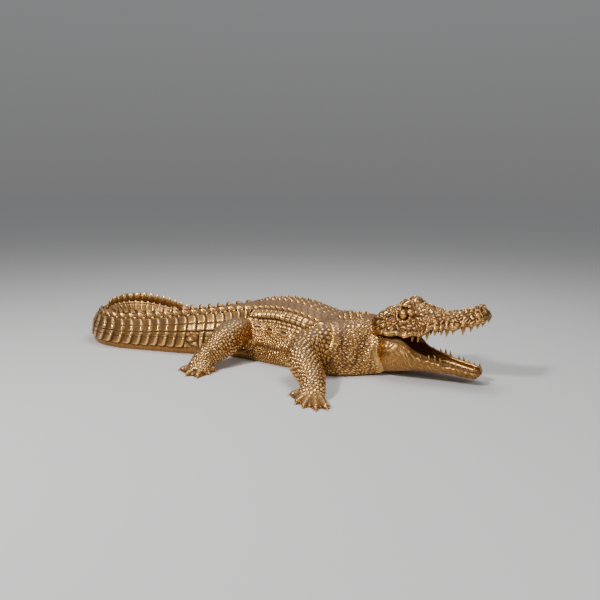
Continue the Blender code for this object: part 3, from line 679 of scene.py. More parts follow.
def trunk_relief(k, share, v, crest, z, limb):
    """The hide of the neck and trunk.

    Cross rows of plates on the back, a rope of tall plates below the edge row, pebbles on the flank that
    grow towards the belly, a long fold above it, buttons, folds round the legs, and a collar behind the jaw.
    """
    u = share * k.spine_length
    w = np.abs(v)
    row = np.interp(share, ROW_SHARES, ROW_COUNTS)
    du, dv = drift(u, v, 0.0028, 0.012)
    size = k.pebble_size
    fine, fine_clear = pebbles(du / size, dv / size, "flank fine")
    coarse, coarse_clear = pebbles((du + 0.25 * dv) / size, dv / size, "flank coarse")
    rough, rough_clear = pebbles(du + 0.45 * dv, dv, "neck")
    hide = Relief(FINE_HEIGHT * fine, fine_clear)
    hide.lay(smooth((w - crest - 0.10) / 0.05), COARSE_HEIGHT * coarse, coarse_clear)
    neck = smooth((0.098 - share) / 0.03) * smooth((w - 0.030) / 0.03)
    hide.lay(neck, NECK_HEIGHT * rough + 0.0010 * fine, 0.20 + 0.55 * rough_clear + 0.15 * fine_clear)

    place = w / crest
    behind_neck = smooth((share - 0.092) / 0.02)
    column = np.interp(place, BACK_COLUMNS, np.arange(len(BACK_COLUMNS)))
    back = Relief(*plates(row + 0.10 * np.floor(column), column, 0.20, 0.26))
    slanted, slanted_clear = plates(row + 2.6 * (place - 0.6), 0.5, 0.30, 0.2)
    back.lay(band(place, 0.62, 0.86, 0.05), 0.75 * slanted, 0.45 + 0.45 * slanted_clear)
    field = (1.0 - smooth((place - 1.10) / 0.10)) * behind_neck
    hide.lay(field, BACK_HEIGHT * back.height + 0.0003 * fine, 0.20 + 0.40 * back.clear)

    down = w - ROPE_START * crest
    rope = down / ROPE_DEPTH
    mask = band(rope, 0.02, 0.98, 0.06) * behind_neck * smooth((TRUNK_END - share) / 0.008)
    swell = np.sin(math.pi * np.clip(rope, 0.0, 1.0)) ** 0.7
    parts = np.clip(rope, 0.02, 0.98) * np.where(share < ROPE_SPLIT, 1.6, 1.0)
    slab, slab_clear = plates(row * 1.22, parts, 0.34, 0.22)
    hide.lay(mask, ROPE_SWELL * swell + ROPE_PLATE * slab, 0.30 + 0.70 * slab_clear * swell)
    for start, depth, pace, height, stop in STRIPS:
        strip = (down - start) / depth
        mask = band(strip, 0.06, 0.94, 0.10) * behind_neck * band(share, 0.10, stop, 0.01)
        slab, slab_clear = plates(row * pace + 0.35, np.clip(strip, 0.02, 0.98), 0.40, 0.45)
        hide.lay(mask, height * slab, 0.95 * slab_clear)
    for at, fall in BUTTONS:
        button = np.hypot((u - at * k.spine_length) / BUTTON_LENGTH, (down - fall) / BUTTON_WIDTH)
        slit = bump(down, fall - 0.002, 0.0046) * smooth((0.92 - button) / 0.25)
        hide.lay(smooth((1.15 - button) / 0.35), 0.0046 - 0.0050 * slit, 0.75 - 0.72 * slit)

    belly = band(share, 0.115, 0.27, 0.02)
    hide.lay(bump(z + 0.003 * np.sin(u / 0.03), 0.066, 0.0080) * belly, -0.0014, 0.44, 0.5, 0.6)
    hide.height += 0.0012 * bump(z, 0.081, 0.009) * belly
    wrinkle = waves(limb, 0.019)
    hide.lay(smooth(1.0 - limb / 0.055), 0.0022 * wrinkle, 0.0, 0.0, 0.4 * (1.0 - wrinkle) ** 2)
    neck = neck * smooth((z - 0.02) / 0.03) * smooth((w - 0.08) / 0.05)
    for at, slope, depth in NECK_FOLDS:
        hide.lay(bump(share + slope * (z - 0.09), at, 0.0075) * neck, -depth, 0.0, 0.0, 0.45)
    collar = bump(share + 0.008 * smooth((0.10 - z) / 0.06), 0.0170, 0.0085) * smooth((w - 0.09) / 0.05)
    hide.lay(collar, COLLAR_HEIGHT, 0.72, 0.75, 0.8)
    return hide


def tail_relief(k, share, v, crest, corner):
    """The hide of the tail.

    Rings of plates. Between the crests they are low. On each side every ring starts with a raised hoop that
    leans back near the crest, in two arcs with a groove along each, over a plain underside with faint
    grooves. Past the double crest the side has three rows.
    """
    u = share * k.spine_length
    w = np.abs(v)
    size = k.pebble_size
    row = np.interp(share, ROW_SHARES, ROW_COUNTS)
    blade = smooth((share - TAIL_ROOT_END + 0.02) / 0.03)
    flank = (w - crest) / (corner - crest)
    own = scatter(np.floor(row), 0.0, 9.0)
    behind = fraction(row - np.interp(flank, *HOOP_LEAN))
    hoop = 1.35 * (1.0 - behind) ** 1.5 * smooth(behind / 0.24) * (0.70 + 0.30 * own)
    hip = smooth((0.465 - share) / 0.04)
    hoop = hoop * (1.0 - 0.55 * hip) + 0.50 * hip * smooth(behind / 0.12) * smooth((1.0 - behind) / 0.12)
    bend = flank + 0.016 * (own - 0.5)
    drawn = (0.0, 0.05 * smooth((0.25 - behind) / 0.25))
    arcs = sum(
        band(bend, start, end - less, 0.030) * (1.0 - depth * bump(bend, groove, reach))
        for (start, end, depth, groove, reach), less in zip(TAIL_ARCS, drawn)
    )
    knobs = bump(bend, 0.035, 0.026) * np.sin(2.0 * math.pi * row) ** 2
    side = Relief(TAIL_KNOB_HEIGHT * knobs, knobs)
    side.lay(arcs, HOOP_HEIGHT * (0.22 + 0.78 * hoop), 0.34 + 0.66 * hoop)
    top, top_clear = plates(row, np.clip(w / crest, 0.0, 1.0) * 2.0, 0.20, 0.24)
    upper = w < crest
    hide = Relief(np.where(upper, BACK_HEIGHT * top, side.height), np.where(upper, top_clear, side.clear))
    plate, plate_clear = hoops(row, np.interp(w / corner, *BLADE_ROWS), 0.24, 0.22)
    hide.lay(blade, BLADE_HEIGHT * plate, plate_clear)
    lumps, lumps_clear = pebbles(u + 0.5 * w, w, "tail lumps")
    patch = band(share, 0.405, 0.428, 0.004) * band(flank, 0.46, 0.76, 0.03) * (1.0 - blade)
    hide.lay(patch, TAIL_LUMP_HEIGHT * lumps, 0.55 + 0.30 * lumps_clear)

    under = smooth((flank - 0.775) / 0.03) * (1.0 - blade) + smooth((w / corner - 0.84) / 0.05) * blade
    ring = smooth(np.minimum(fraction(row), fraction(-row)) / 0.12)
    fine, fine_clear = pebbles(u / size, v / size, "tail fine")
    hide.clear = 0.15 + 0.85 * hide.clear
    hide.lay(under, 0.0005 * ring, 0.56 + 0.10 * ring)
    hide.height = hide.height * np.clip(corner / 0.16, 0.35, 1.0) + 0.0006 * fine
    hide.clear = hide.clear * (0.85 + 0.15 * fine_clear)
    return hide


def throat_behind(k, ring):
    """Rings from the first one of the neck back into it: each smaller by a power of the way, and lower."""
    centre = ring.mean(axis=0)
    forward = np.append(spine_at(k, 0.0)[1], 0.0)
    left_over = np.linspace(1.0, 0.0, 14)[-2:0:-1, None, None]
    throat = centre + (ring - centre) * left_over**0.6
    return throat - forward * 0.055 * (1.0 - left_over) ** 1.2 - UP * 0.012 * (1.0 - left_over)


def body_piece(k, name, start, end, pace, columns, below):
    """One length of the body, closed: the skin with its relief, and the flat underside with shallow belly
    plates.
    """
    rows = int(round((end - start) * k.spine_length / pace)) + 1
    share = np.linspace(start, end, rows)
    tip = 0.004
    if end == 1.0:
        share = np.concatenate([share[:-1], 1.0 - tip * np.linspace(1.0, 0.0, 8)[1:] ** 1.6])
    skin, v, crest, corner = body_skin(k, share, columns)
    grid = np.repeat(share[:, None], columns, axis=1)
    out = normals(skin)
    out = out * np.sign(out[..., 2].sum())
    middle = skin.mean(axis=1, keepdims=True)
    if start == 0.0:
        limb = clear_of_limbs(k, skin)
        hide = trunk_relief(k, grid, v, crest, skin[..., 2], limb)
        hide.height += 0.016 * smooth(1.0 - limb / 0.045) ** 2
        drawn_in = 0.20 * smooth(1.0 - grid / 0.016)[..., None]
        skin[..., :2] += (middle - skin)[..., :2] * drawn_in
    else:
        hide = tail_relief(k, grid, v, crest, corner)
    hide.height = hide.height * smooth(skin[..., 2] / 0.018)
    rounding = np.sqrt(np.clip(1.0 - np.clip((grid - 1.0) / tip + 1.0, 0.0, None) ** 2, 0.02, 1.0))
    skin = skin + out * (hide.height * rounding)[..., None]
    if end == 1.0:
        middle = skin.mean(axis=1, keepdims=True) * (1.0, 1.0, 0.8)
        skin = middle + (skin - middle) * rounding[:, :1, None]
    skin[..., 2] = np.maximum(skin[..., 2], 0.0)
    sweep = np.linspace(0.0, 1.0, below + 2)[1:-1]
    floor = skin[:, -1:] + (skin[:, :1] - skin[:, -1:]) * sweep[None, :, None]
    row = np.interp(share, ROW_SHARES, ROW_COUNTS)
    belly = plates(1.5 * row[:, None], 6.0 * sweep, 0.2, 0.2)[1]
    floor[:, 1:-1, 2] += 0.0016 * (1.0 - belly[:, 1:-1])
    rings = np.concatenate([skin, floor], axis=1)
    worn_and_lit = np.concatenate([hide.worn_and_lit(0.0022, closed=False), 0.2 + 0.4 * belly], axis=1)
    if start == 0.0:
        throat = throat_behind(k, rings[0])
        rings = np.concatenate([throat, rings])
        worn_and_lit = np.concatenate([np.full(throat.shape[:2], 0.05), worn_and_lit])
    return lofts(name, rings[None], worn_and_lit[None])


def head_frame(k):
    """Where the head starts, and its forward and left directions."""
    place, forward, left = (np.append(a, 0.0) for a in spine_at(k, 0.0))
    return place - forward * SKULL_SETBACK * k.head_length, forward, left


def skull_at(k, share):
    """Half width, top and lip height of the upper jaw at shares of the head."""
    width, top, lip = curve_through(SKULL[:, 0], SKULL[:, 1:], share).T
    return width * k.head_width / 2, top * k.head_length, lip * k.head_length


def jaw_at(k, share):
    """Half width and the heights of gum, underside and mouth floor at shares of the lower jaw."""
    width, gum, under, floor = curve_through(JAW[:, 0], JAW[:, 1:], share).T
    return width * k.head_width / 2, gum * k.head_length, under * k.head_length, floor * k.head_length


def shares_to_a_round_end(rows, last):
    """Shares from 0 to 1: even as far as last, then closing up over twelve steps as a sine."""
    end = np.sin(np.linspace(0.0, 0.5 * math.pi, 13)[1:])
    return np.concatenate([np.linspace(0.0, last, rows - 12), last + (1.0 - last) * end])


def head_skin(k, outline, x, columns):
    """A closed skin of the head: half outlines (rows, knots, 2) at places x, read evenly down both sides.

    Gives the points, their normals, how far out they lie, the distance from the middle along the skin,
    unsigned and signed, and a function for that distance at a knot.
    """
    last = outline.shape[1] - 1
    places = np.linspace(0.0, last, last * HEAD_STEPS + 1)
    turn = np.linspace(-1.0, 1.0, columns, endpoint=False)
    lateral, height = np.moveaxis(outlines_at(outline, places), -1, 0)
    y, z, w, arc = even_columns(lateral, height, np.abs(turn))
    sign = np.sign(turn) + (turn == 0.0)
    start, forward, left = head_frame(k)
    points = start + x[..., None] * forward + (y * sign)[..., None] * left
    points[..., 2] = z
    out = normals(points, closed=True)
    out = out * np.sign((out[..., 2] * (z - z.mean(axis=1, keepdims=True))).sum())
    return points, out, y, w, w * sign, lambda knot: arc[:, [knot * HEAD_STEPS]]


def skull_piece(k):
    """Skull and upper jaw: the half outline carried along the head, with its knobs, brows, nostrils and
    lips.
    """
    share = shares_to_a_round_end(260, 0.97)
    half, top, lip = (a[:, None] for a in skull_at(k, share))
    wave = np.sin(2.0 * math.pi * LIP_WAVES * share) * smooth(4.0 * share) * smooth(8.0 - 8.0 * share)
    lip = lip + LIP_WAVE_HEIGHT * wave[:, None]
    outline = np.stack([SKULL_OUTLINE[:, 0] * half, lip + SKULL_OUTLINE[:, 1] * (top - lip)], -1)
    points, out, y, w, v, knot_at = head_skin(k, outline, share[:, None] * k.head_length, 250)
    s, z = np.repeat(share[:, None], 250, axis=1), points[..., 2]
    x = s * k.head_length
    drop = knot_at(LIP) - w
    above = smooth(drop / 0.006)

    dx, dv = drift(x, v, 0.0034, 0.010)
    crown, crown_clear = pebbles(dx, dv, "crown")
    small, small_clear = pebbles(dx, dv, "crown small")
    cheek = smooth((w - 0.055) / 0.03) * smooth((0.56 - s) / 0.08)
    knobbly = CROWN_HEIGHT * crown * (1.0 - 0.35 * cheek) + 0.0018 * small
    hide = Relief(0.0 * s, 0.5 + 0.0 * s)
    hide.lay(above, knobbly, 0.70 * crown_clear + 0.30 * small_clear)
    lips = smooth((drop + 0.004) / 0.005) * smooth((0.023 - drop) / 0.006) * above
    lump, lump_clear = pebbles(dx, 0.5 + 0.0 * dv, "lip")
    hide.lay(lips, 0.0, 0.58 + 0.30 * lump_clear, 0.90)
    roll = dome((drop - 0.0095) / 0.0120) * above * smooth(s / 0.18)
    hide.height += LIP_ROLL * roll * (0.45 + 0.55 * lump)
    groove = bump(drop + 0.003 * np.sin(x / 0.011), 0.0200, 0.0030)
    groove = groove * smooth((0.60 - s) / 0.1) * smooth((s - 0.10) / 0.05)
    hide.lay(groove, -0.0018, 0.0, 0.0, 0.35)
    for at, large in UPPER_TEETH[2:]:
        swell = bump(s, at, 0.021) * bump(drop, 0.009, 0.013) * above
        ridge = bump(s, at, 0.013) * band(drop, 0.010, 0.036, 0.010) * above * smooth((0.90 - s) / 0.06)
        hide.height += 0.0030 * large * swell + 0.0038 * ridge
        hide.brighten(0.9 * ridge)
    hide.lay(smooth((-drop - 0.012) / 0.006), 0.0014 * waves(x, 0.013), 0.42, 0.0)

    eye = k.eye_size
    eye_half, eye_top, _ = (float(a[0]) for a in skull_at(k, np.array([EYE_PLACE])))
    ahead, over = x / eye - EYE_PLACE * k.head_length / eye, (z - eye_top) / eye + EYE_DROP
    angle = np.arctan2(over, ahead)
    outside = smooth((y - 0.45 * eye_half) / 0.01) * above
    brow = np.hypot(ahead / 0.95, (y - 0.50 * eye_half) / (0.62 * eye))
    lift = 0.66 * eye * dome(math.sqrt(0.8) * brow) * (1.0 - smooth((brow - 0.75) / 0.4)) * above
    wall = bump(brow, 0.95, 0.45) * smooth((y - 0.62 * eye_half) / 0.01) * above
    socket = np.hypot(ahead / 0.50, over / 0.64) + 0.10 * np.sin(3.0 * angle)
    cut = smooth((1.15 - socket) / 0.4) * outside * smooth((0.60 - over) * eye / 0.006)
    knob = np.hypot((ahead - KNOB_AHEAD) / 0.58, (over - KNOB_ABOVE) / 0.46)
    knob = smooth((1.35 - knob) / 0.4) * outside
    lid = bump(socket, 1.38, 0.26) * outside * (1.0 - knob)
    ridge = bump(y, 0.50 * half, 0.009) * band(s, 0.40, 0.58, 0.05) * above
    table = bump(y, 0.70 * half, 0.012) * band(s, 0.06, 0.27, 0.04) * above
    ear = bump(z, top - 0.34 * (top - lip) + 0.004 * np.sin(x / 0.012), 0.0040) * band(s, 0.14, 0.24, 0.03)
    ear = ear * outside
    nostril_x = NOSTRIL_PLACE * k.head_length + 0.007
    mound = np.hypot((x - nostril_x) / (0.44 * eye), (y - 0.58 * half) / (0.42 * eye))
    nose = smooth(1.25 - mound) * above
    rim = bump(mound, 0.70, 0.24) * above
    pit = smooth((0.42 - mound) / 0.3) * above
    for mask, height, clear, flattens, dulls in (
        (wall, 0.0, 0.60, 0.75, 0.80),
        (knob, 0.0, 0.0, 0.85, 0.70),
        (cut, 0.0, 0.0, 0.75, 0.65),
        (rim, 0.0, 0.0, 0.70, 0.0),
        (ear, -0.0030, 0.0, 0.0, 0.60),
        (pit, 0.0, 0.0, 0.0, 0.90),
    ):
        hide.lay(mask, height, clear, flattens, dulls)
    lumpy_lid = 0.0050 * lid * (0.40 + 0.60 * np.cos(2.5 * angle + 0.6) ** 2)
    hide.height += 0.0060 * ridge + 0.0050 * table + lumpy_lid
    hide.brighten(np.maximum(0.90 * rim * (1.0 - pit), 0.54 * lid))

    rise = 0.85 * (lift + NOSE_RISE * nose)
    form = lift - SOCKET_DEPTH * cut + NOSE_RISE * nose + 0.0050 * rim - SOCKET_DEPTH * pit
    points = points + out * (hide.height - 0.0035 * above * (1.0 - lips))[..., None]
    points = points + UP * rise[..., None] + out * (form - rise)[..., None]
    return lofts("skull", points[None], hide.worn_and_lit()[None])


def jaw_piece(k):
    """Lower jaw: a long trough with gums that swell at each tooth, a low tongue and a bulging, wrinkled
    cheek.
    """
    share = shares_to_a_round_end(200, 0.96)
    half, gum, under, floor = (a[:, None] for a in jaw_at(k, share))
    levels = np.concatenate([floor, floor, under + (gum - under) * JAW_LEVELS], axis=1)
    x = JAW_START * k.head_length + share[:, None] * k.jaw_length
    points, out, y, w, v, knot_at = head_skin(k, np.stack([JAW_WIDTHS * half, levels], -1), x, 190)
    s = np.repeat(share[:, None], 190, axis=1)
    drop = w - knot_at(GUM)
    outer = smooth(drop / 0.006)
    inner = 1.0 - smooth((drop + 0.010) / 0.006)

    dx, dw = drift(s * k.jaw_length, v, 0.0040, 0.016)
    light, light_clear = pebbles(dx + 0.4 * dw, dw, "jaw light")
    small, small_clear = pebbles(dx, dw, "jaw small")
    hide = Relief(0.0030 * light * outer, 0.62 + 0.20 * light_clear * outer)
    hide.lay(smooth((drop - 0.050) / 0.03) * outer, 0.0026 * small * outer, 0.62 + 0.25 * small_clear * outer)
    mass = bump(s, 0.17, 0.14) * bump(drop, 0.044, 0.038) * outer
    dent = bump(s, 0.375, 0.035) * bump(drop, 0.030, 0.022) * outer
    edge = dome((drop + 0.003) / 0.013) * (1.0 - smooth((s - 0.34) / 0.08)) * smooth(s / 0.06)
    border = bump(np.hypot((s - 0.15) / 0.21, (drop - 0.040) / 0.052), 1.0, 0.20)
    border = border * outer * smooth((s - 0.12) / 0.05)
    ridge = bump(w - knot_at(RIDGE), 0.0, 0.0045) * smooth((s - 0.36) / 0.04)
    form = CHEEK_RISE * mass - 0.0030 * dent + 0.0065 * edge - 0.0030 * border + 0.0050 * ridge
    hide.brighten(ridge)
    for at, large in LOWER_TEETH:
        swell = bump(s, at, 0.021) * bump(drop, 0.006, 0.011)
        form = form + 0.0046 * min(large, 1.3) * swell
        hide.brighten(0.9 * swell * (drop > -0.01))
    hide.clear = hide.clear * (1.0 - 0.25 * bump(drop, 0.0, 0.004) * smooth((s - 0.40) / 0.04))
    for at, lean, depth in CHEEK_FOLDS:
        fold = bump(s - lean * drop, at, 0.010) * outer * smooth((0.075 - drop) / 0.03)
        hide.lay(fold, -depth, 0.0, 0.0, 0.5)

    # Painted light: inside the mouth, below the gum and away from the middle of its floor, the walls are made
    # pale gold, fully so over the front six tenths of the jaw, for light that the skull keeps off them. The
    # middle of the floor is made darker.
    deep_in = 1.0 - smooth((w - knot_at(MOUTH_FLOOR) + 0.001) / 0.006)
    tongue = inner * band(s, 0.12, 0.86, 0.05) * np.clip(1.0 - (y / (0.48 * half)) ** 2, 0.0, 1.0)
    hide.brighten(inner * (1.0 - deep_in) * (0.80 + 0.20 * smooth((s - 0.30) / 0.10)))
    hide.clear = hide.clear * (1.0 - 0.50 * deep_in)
    hide.brighten(0.85 * band(w, knot_at(RIDGE), knot_at(GUM) + 0.004, 0.003))
    points = points + out * (hide.height + form)[..., None]
    points[..., 2] = np.maximum(points[..., 2] + 0.010 * tongue, 0.0)
    return lofts("lower_jaw", points[None], hide.worn_and_lit()[None])


def tooth_rows(k):
    """For the upper and the lower jaw: its teeth, how far along, out and up they stand, their direction and
    width.
    """
    half, _, lip = skull_at(k, UPPER_TEETH[:, 0])
    yield UPPER_TEETH, UPPER_TEETH[:, 0] * k.head_length, half * UPPER_TOOTH_SPREAD, lip, -1.0, k.tooth_width
    half, gum, _, _ = jaw_at(k, LOWER_TEETH[:, 0])
    along = JAW_START * k.head_length + LOWER_TEETH[:, 0] * k.jaw_length
    yield LOWER_TEETH, along, half * LOWER_TOOTH_SPREAD, gum, 1.0, k.tooth_width * LOWER_TOOTH_SHARE


def teeth_piece(k):
    """Both rows of both jaws: curved cones, their radius the 0.72 power of what is left of the height."""
    start, forward, left = head_frame(k)
    bases, tips, widths = [], [], []
    for side in (1.0, -1.0):
        for teeth, along, out, level, way, width in tooth_rows(k):
            gum = start + np.outer(along, forward) + np.outer(side * out, left) + np.outer(level, UP)
            rise = UP * k.tooth_length * teeth[:, 1:] * way
            bases.append(gum - TOOTH_ROOT * rise)
            tips.append(gum + rise)
            widths.append(width * teeth[:, 1] ** 0.5)
    bases, tips, widths = (np.concatenate(a) for a in (bases, tips, widths))
    q = np.linspace(0.0, 1.0, 9)
    turn = circle(12)
    centre = bases[:, None] + (tips - bases)[:, None] * q[:, None] - forward * (0.0022 * q**2)[:, None]
    radius = (0.54 * widths[:, None] * (1.0 - q) ** 0.72 + 0.0004)[..., None]
    rings = rings_round(centre, radius * np.cos(turn), radius * np.sin(turn), forward, left)
    return lofts("teeth", rings, (0.35 + 0.6 * q)[None, :, None])


def ball(centre, axes):
    """A ball stretched along three axes, as rings from pole to pole."""
    polar = np.linspace(0.02, math.pi - 0.02, 22)[:, None]
    turn = circle(28)
    middle = centre + np.cos(polar) * axes[2]
    return rings_round(middle, np.sin(polar) * np.cos(turn), np.sin(polar) * np.sin(turn), axes[0], axes[1])


def eyes_piece(k):
    """Eyeballs, the oval knobs in front of them, the small lumps of the lids, and the knobs beside the
    nostrils.
    """
    start, forward, left = head_frame(k)
    eye = k.eye_size
    at = np.array([EYE_PLACE, BOSS_PLACE])
    (half, boss_half), (top, boss_top), (_, boss_lip) = skull_at(k, at)
    balls = []
    for side in (1.0, -1.0):
        out = left * side
        eyeball = start + forward * EYE_PLACE * k.head_length + out * half * EYE_SPREAD
        eyeball = eyeball + UP * (top - EYE_DROP * eye)
        for ahead, above, outwards, long, tall, thick, tilt in EYE_BALLS:
            cosine, sine = math.cos(math.radians(tilt)), math.sin(math.radians(tilt))
            centre = eyeball + (forward * ahead + UP * above + out * outwards) * eye
            axes = ((forward * cosine + UP * sine) * long, (UP * cosine - forward * sine) * tall, out * thick)
            balls.append(ball(centre, np.array(axes) * eye))
        boss = start + forward * BOSS_PLACE * k.head_length + out * 0.88 * boss_half
        boss = boss + UP * (boss_lip + 0.56 * (boss_top - boss_lip))
        balls.append(ball(boss, np.array((forward * 0.34, UP * 0.30, out * 0.34)) * eye))
    return lofts("eyes", np.array(balls), np.array(0.80))


def limb_piece(k, name):
    """A leg down to its palm: an oval carried along its path, with oval scales in rings that thin towards
    the foot.
    """
    kind = name.split("_")[1]
    path, wide, tall, *_ = limb_rings(k, name)
    knots = np.append(0.0, np.cumsum(np.linalg.norm(np.diff(path, axis=0), axis=1)))
    along = np.linspace(0.0, knots[-1], int(knots[-1] / 0.0025))
    s = (along / knots[-1])[:, None]
    narrow = np.sqrt(np.clip(1.0 - (np.clip(s - 0.88, 0.0, None) / 0.124) ** 2, 0.05, 1.0))
    wide = curve_through(knots, wide, along)[:, None] * (0.35 + 0.65 * narrow)
    tall = curve_through(knots, tall, along)[:, None] * (0.15 + 0.85 * narrow)
    centre = curve_through(knots, path, along)
    ahead = unit(np.gradient(centre, axis=0))
    across = unit(np.cross(ahead, UP))
    above = np.cross(across, ahead)
    turn = circle(120)

    first, last, count = LEG_RINGS[kind]
    pace = first + (last - first) * smooth((s - 0.15) / 0.7)
    ring = np.cumsum(1.0 / pace)[:, None] * (along[1] - along[0])
    wander = 0.16 * np.sin(3.0 * turn + 0.7 * ring) + 0.10 * np.sin(5.0 * turn - 0.4 * ring)
    columns = count * turn / (2.0 * math.pi) + 0.0 * ring
    scale, clear = pebbles(ring + wander, columns, kind, later=2.0 * list(SWING).index(name), around=count)
    thigh = 1.0 if kind == "fore" else 0.45 + 0.55 * smooth((s - 0.30) / 0.25)
    bend = np.abs(np.sin(math.pi * (ring + wander)))
    height = LEG_HEIGHT * scale * thigh * np.clip(wide / 0.05, 0.55, 1.0)
    height = height + 0.0024 * smooth((s - 0.45) / 0.15) * bend
    hide = Relief(height, 0.22 + 0.78 * clear)
    sideways, upwards = np.cos(turn) * (wide + height), np.sin(turn) * (tall + height)
    points = rings_round(centre, sideways, upwards, across, above)
    points[..., 2] = np.maximum(points[..., 2], 0.0)
    return lofts(name + "_leg", points[None], hide.worn_and_lit()[None])


def toe_piece(k, name, hub, way, lengths):
    """Toes: ovals along each, keeled on top, with knuckles and fine cross ridges."""
    thick = k.toe_thickness / 2
    q = np.linspace(0.12, 0.92, 36)[:, None]
    turn = circle(22)
    top = np.clip(np.sin(turn), 0.0, 1.0)
    ridges = np.abs(np.sin(math.pi * q * 11.0))
    girth = np.interp(q, *TOE_GIRTH) * thick * (0.95 + 0.10 * band((q + 0.02) % 0.20, 0.06, 0.14, 0.04))
    tall = girth * (1.0 + 0.22 * top**3) + 0.0011 * ridges * top
    outwards = way[:, None] * (q[:, 0] * lengths[:, None])[..., None]
    centre = hub + outwards + UP * np.interp(q, *TOE_LEVEL) * thick
    beside = np.cross(way, UP)[:, None]
    broad = girth * np.interp(q, *TOE_BREADTH)
    rings = rings_round(centre, broad * np.cos(turn), tall * np.sin(turn), beside, UP)
    rings[..., 2] = np.maximum(rings[..., 2], 0.0)
    return lofts(name + "_toes", rings, 0.42 + 0.45 * top**2 * (0.7 + 0.3 * ridges))


def claw_piece(k, name, hub, way, lengths):
    """Claws: cones over the toes' ends, their radius the 0.75 power of what is left, that bend down to the
    tip.
    """
    reach = np.linspace(0.0, 1.0, 14)
    radius = (CLAW_RADIUS * (1.0 - reach) ** 0.75 + 0.0004)[:, None]
    back = (1.0 - reach) * CLAW_LENGTH * np.clip(lengths / k.toe_length, 0.6, 1.0)[:, None]
    rise = 0.0090 + 0.0030 * np.sin(math.pi * reach**0.8) - 0.0080 * reach
    tip = hub + way * (lengths + 0.003)[:, None]
    centre = tip[:, None] - way[:, None] * back[..., None] + UP * rise[:, None]
    turn = circle(12)
    beside = np.cross(way, UP)[:, None]
    rings = rings_round(centre, radius * np.cos(turn) * 0.85, radius * np.sin(turn), beside, UP)
    rings[..., 2] = np.maximum(rings[..., 2], 0.0)
    return lofts(name + "_claws", rings, np.array(0.8))


def web_piece(k, name, hub, out, ahead, angles, lengths):
    """The web: a sheet round the hub. Its reach follows the toes' lengths, dips between them and thins
    outwards.
    """
    fan = np.linspace(angles[0] - 0.12, angles[-1] + 0.12, 130)[:, None]
    order = np.interp(fan, angles, np.arange(len(angles)))
    gap = np.clip(np.interp(fan, 0.5 * (angles[1:] + angles[:-1]), np.diff(angles)), 0.0, 1.2)
    edge = np.interp(fan, angles, lengths) * (0.87 - (0.05 + 0.09 * gap) * np.sin(math.pi * order) ** 2)
    r = np.linspace(0.0, 1.0, 30)
    distance = r * edge
    flat = hub + (np.cos(fan) * out + np.sin(fan) * ahead)[:, None] * distance[..., None]
    swell = np.cos(math.pi * order) ** 2
    groove = np.abs(np.sin(math.pi * 3.0 * order))
    grain, grain_clear = pebbles(distance, fan * distance, "web")
    uneven = (0.0030 * swell + 0.0010 * groove) * smooth(3.0 * r)
    top = 0.0125 + 0.60 * k.toe_thickness * (1.0 - r) ** 1.15 + uneven
    top = top + (0.0034 - 0.0022 * smooth(2.0 * r - 0.6)) * grain
    sheet = flat + UP * (top * np.sqrt(np.clip(1.0 - r**12, 0.05, 1.0)))[..., None]
    rings = np.concatenate([sheet, flat[:, [29, 15, 0]]], axis=1)
    tone = np.pad(0.30 + 0.35 * swell + 0.25 * grain_clear * grain, ((0, 0), (0, 3)), constant_values=0.3)
    return lofts(name + "_web", rings[None], tone[None])


def feet_pieces(k, name):
    """A foot: its toes, claws and web."""
    *_, out, ahead, hub = limb_rings(k, name)
    hub = hub * (1.0, 1.0, 0.0)
    angles, lengths = TOES[name.split("_")[1]].T * [[math.radians(1.0)], [k.toe_length]]
    way = np.cos(angles)[:, None] * out + np.sin(angles)[:, None] * ahead
    return [
        toe_piece(k, name, hub, way, lengths),
        claw_piece(k, name, hub, way, lengths),
        web_piece(k, name, hub, out, ahead, angles, lengths),
    ]


def body_spots(k, share, t, side):
    """Points of the skin at places t of the outline, with unit vectors forwards, outwards and sideways."""
    t = t + 0.0 * share
    pairs = [body_sections(k, np.array([s]), place + np.array([0.0, 0.05])) for s, place in zip(share, t)]
    lateral, height = (np.concatenate(a) for a in zip(*pairs))
    place, forward, left = spine_at(k, share)
    spot = np.column_stack([place + left * (lateral[:, :1] * side), height[:, 0]])
    fall = unit(np.stack([np.diff(lateral)[:, 0] * side, np.diff(height)[:, 0]], -1))
    down = np.column_stack([left * fall[:, :1], fall[:, 1]])
    ahead = np.column_stack([forward, np.zeros(len(share))])
    out = np.cross(ahead, down)
    out = out * np.sign(out[:, 2:])
    return spot, ahead, out, np.cross(out, ahead)


def keels(spots, length, width, height, lean, peak, blunt, joined=0.0, edge=1.0):
    """Keeled scales, (scales, sections, points round, 3), and how rubbed they are.

    Along a scale the keel rises as a power of the share of its length, up to its peak, and falls behind it.
    joined is the share of the height that it keeps at both ends. Across, its height is (1 - |r|^1.5)^edge,
    and its foot is under the skin. It leans back with its height.
    """
    spot, ahead, out, beside = (a[:, None, None] for a in spots)
    s = np.linspace(0.0, 1.0, 15)[:, None]
    r = np.linspace(-1.0, 1.0, 13)
    front = np.clip(s / peak, 0.0, 1.0) ** blunt
    rear = dome(np.clip((s - peak) / (1.0 - peak), 0.0, 1.0))
    rise = joined + (1.0 - joined) * np.where(s < peak, front, rear)
    plan = np.sin(math.pi * np.clip(s, 0.04, 0.96)) ** (0.55 * (1.0 - joined))
    height = (height + np.zeros(len(spot)))[:, None, None]
    up = height * (-0.22 + (rise + 0.22) * (1.0 - np.abs(r) ** 1.5) ** edge)
    x = (0.5 - s) * length - lean * np.clip(up, 0.0, None)
    y = 0.5 * width * plan * r
    rings = spot + ahead * x[..., None] + beside * y[..., None] + out * up[..., None]
    return rings, 0.22 + 0.78 * np.clip(up / height, 0.0, 1.0) ** 0.8


def keel_piece(name, rows):
    """One piece of several rows of keels."""
    return lofts(name, *(np.concatenate(a) for a in zip(*rows)))


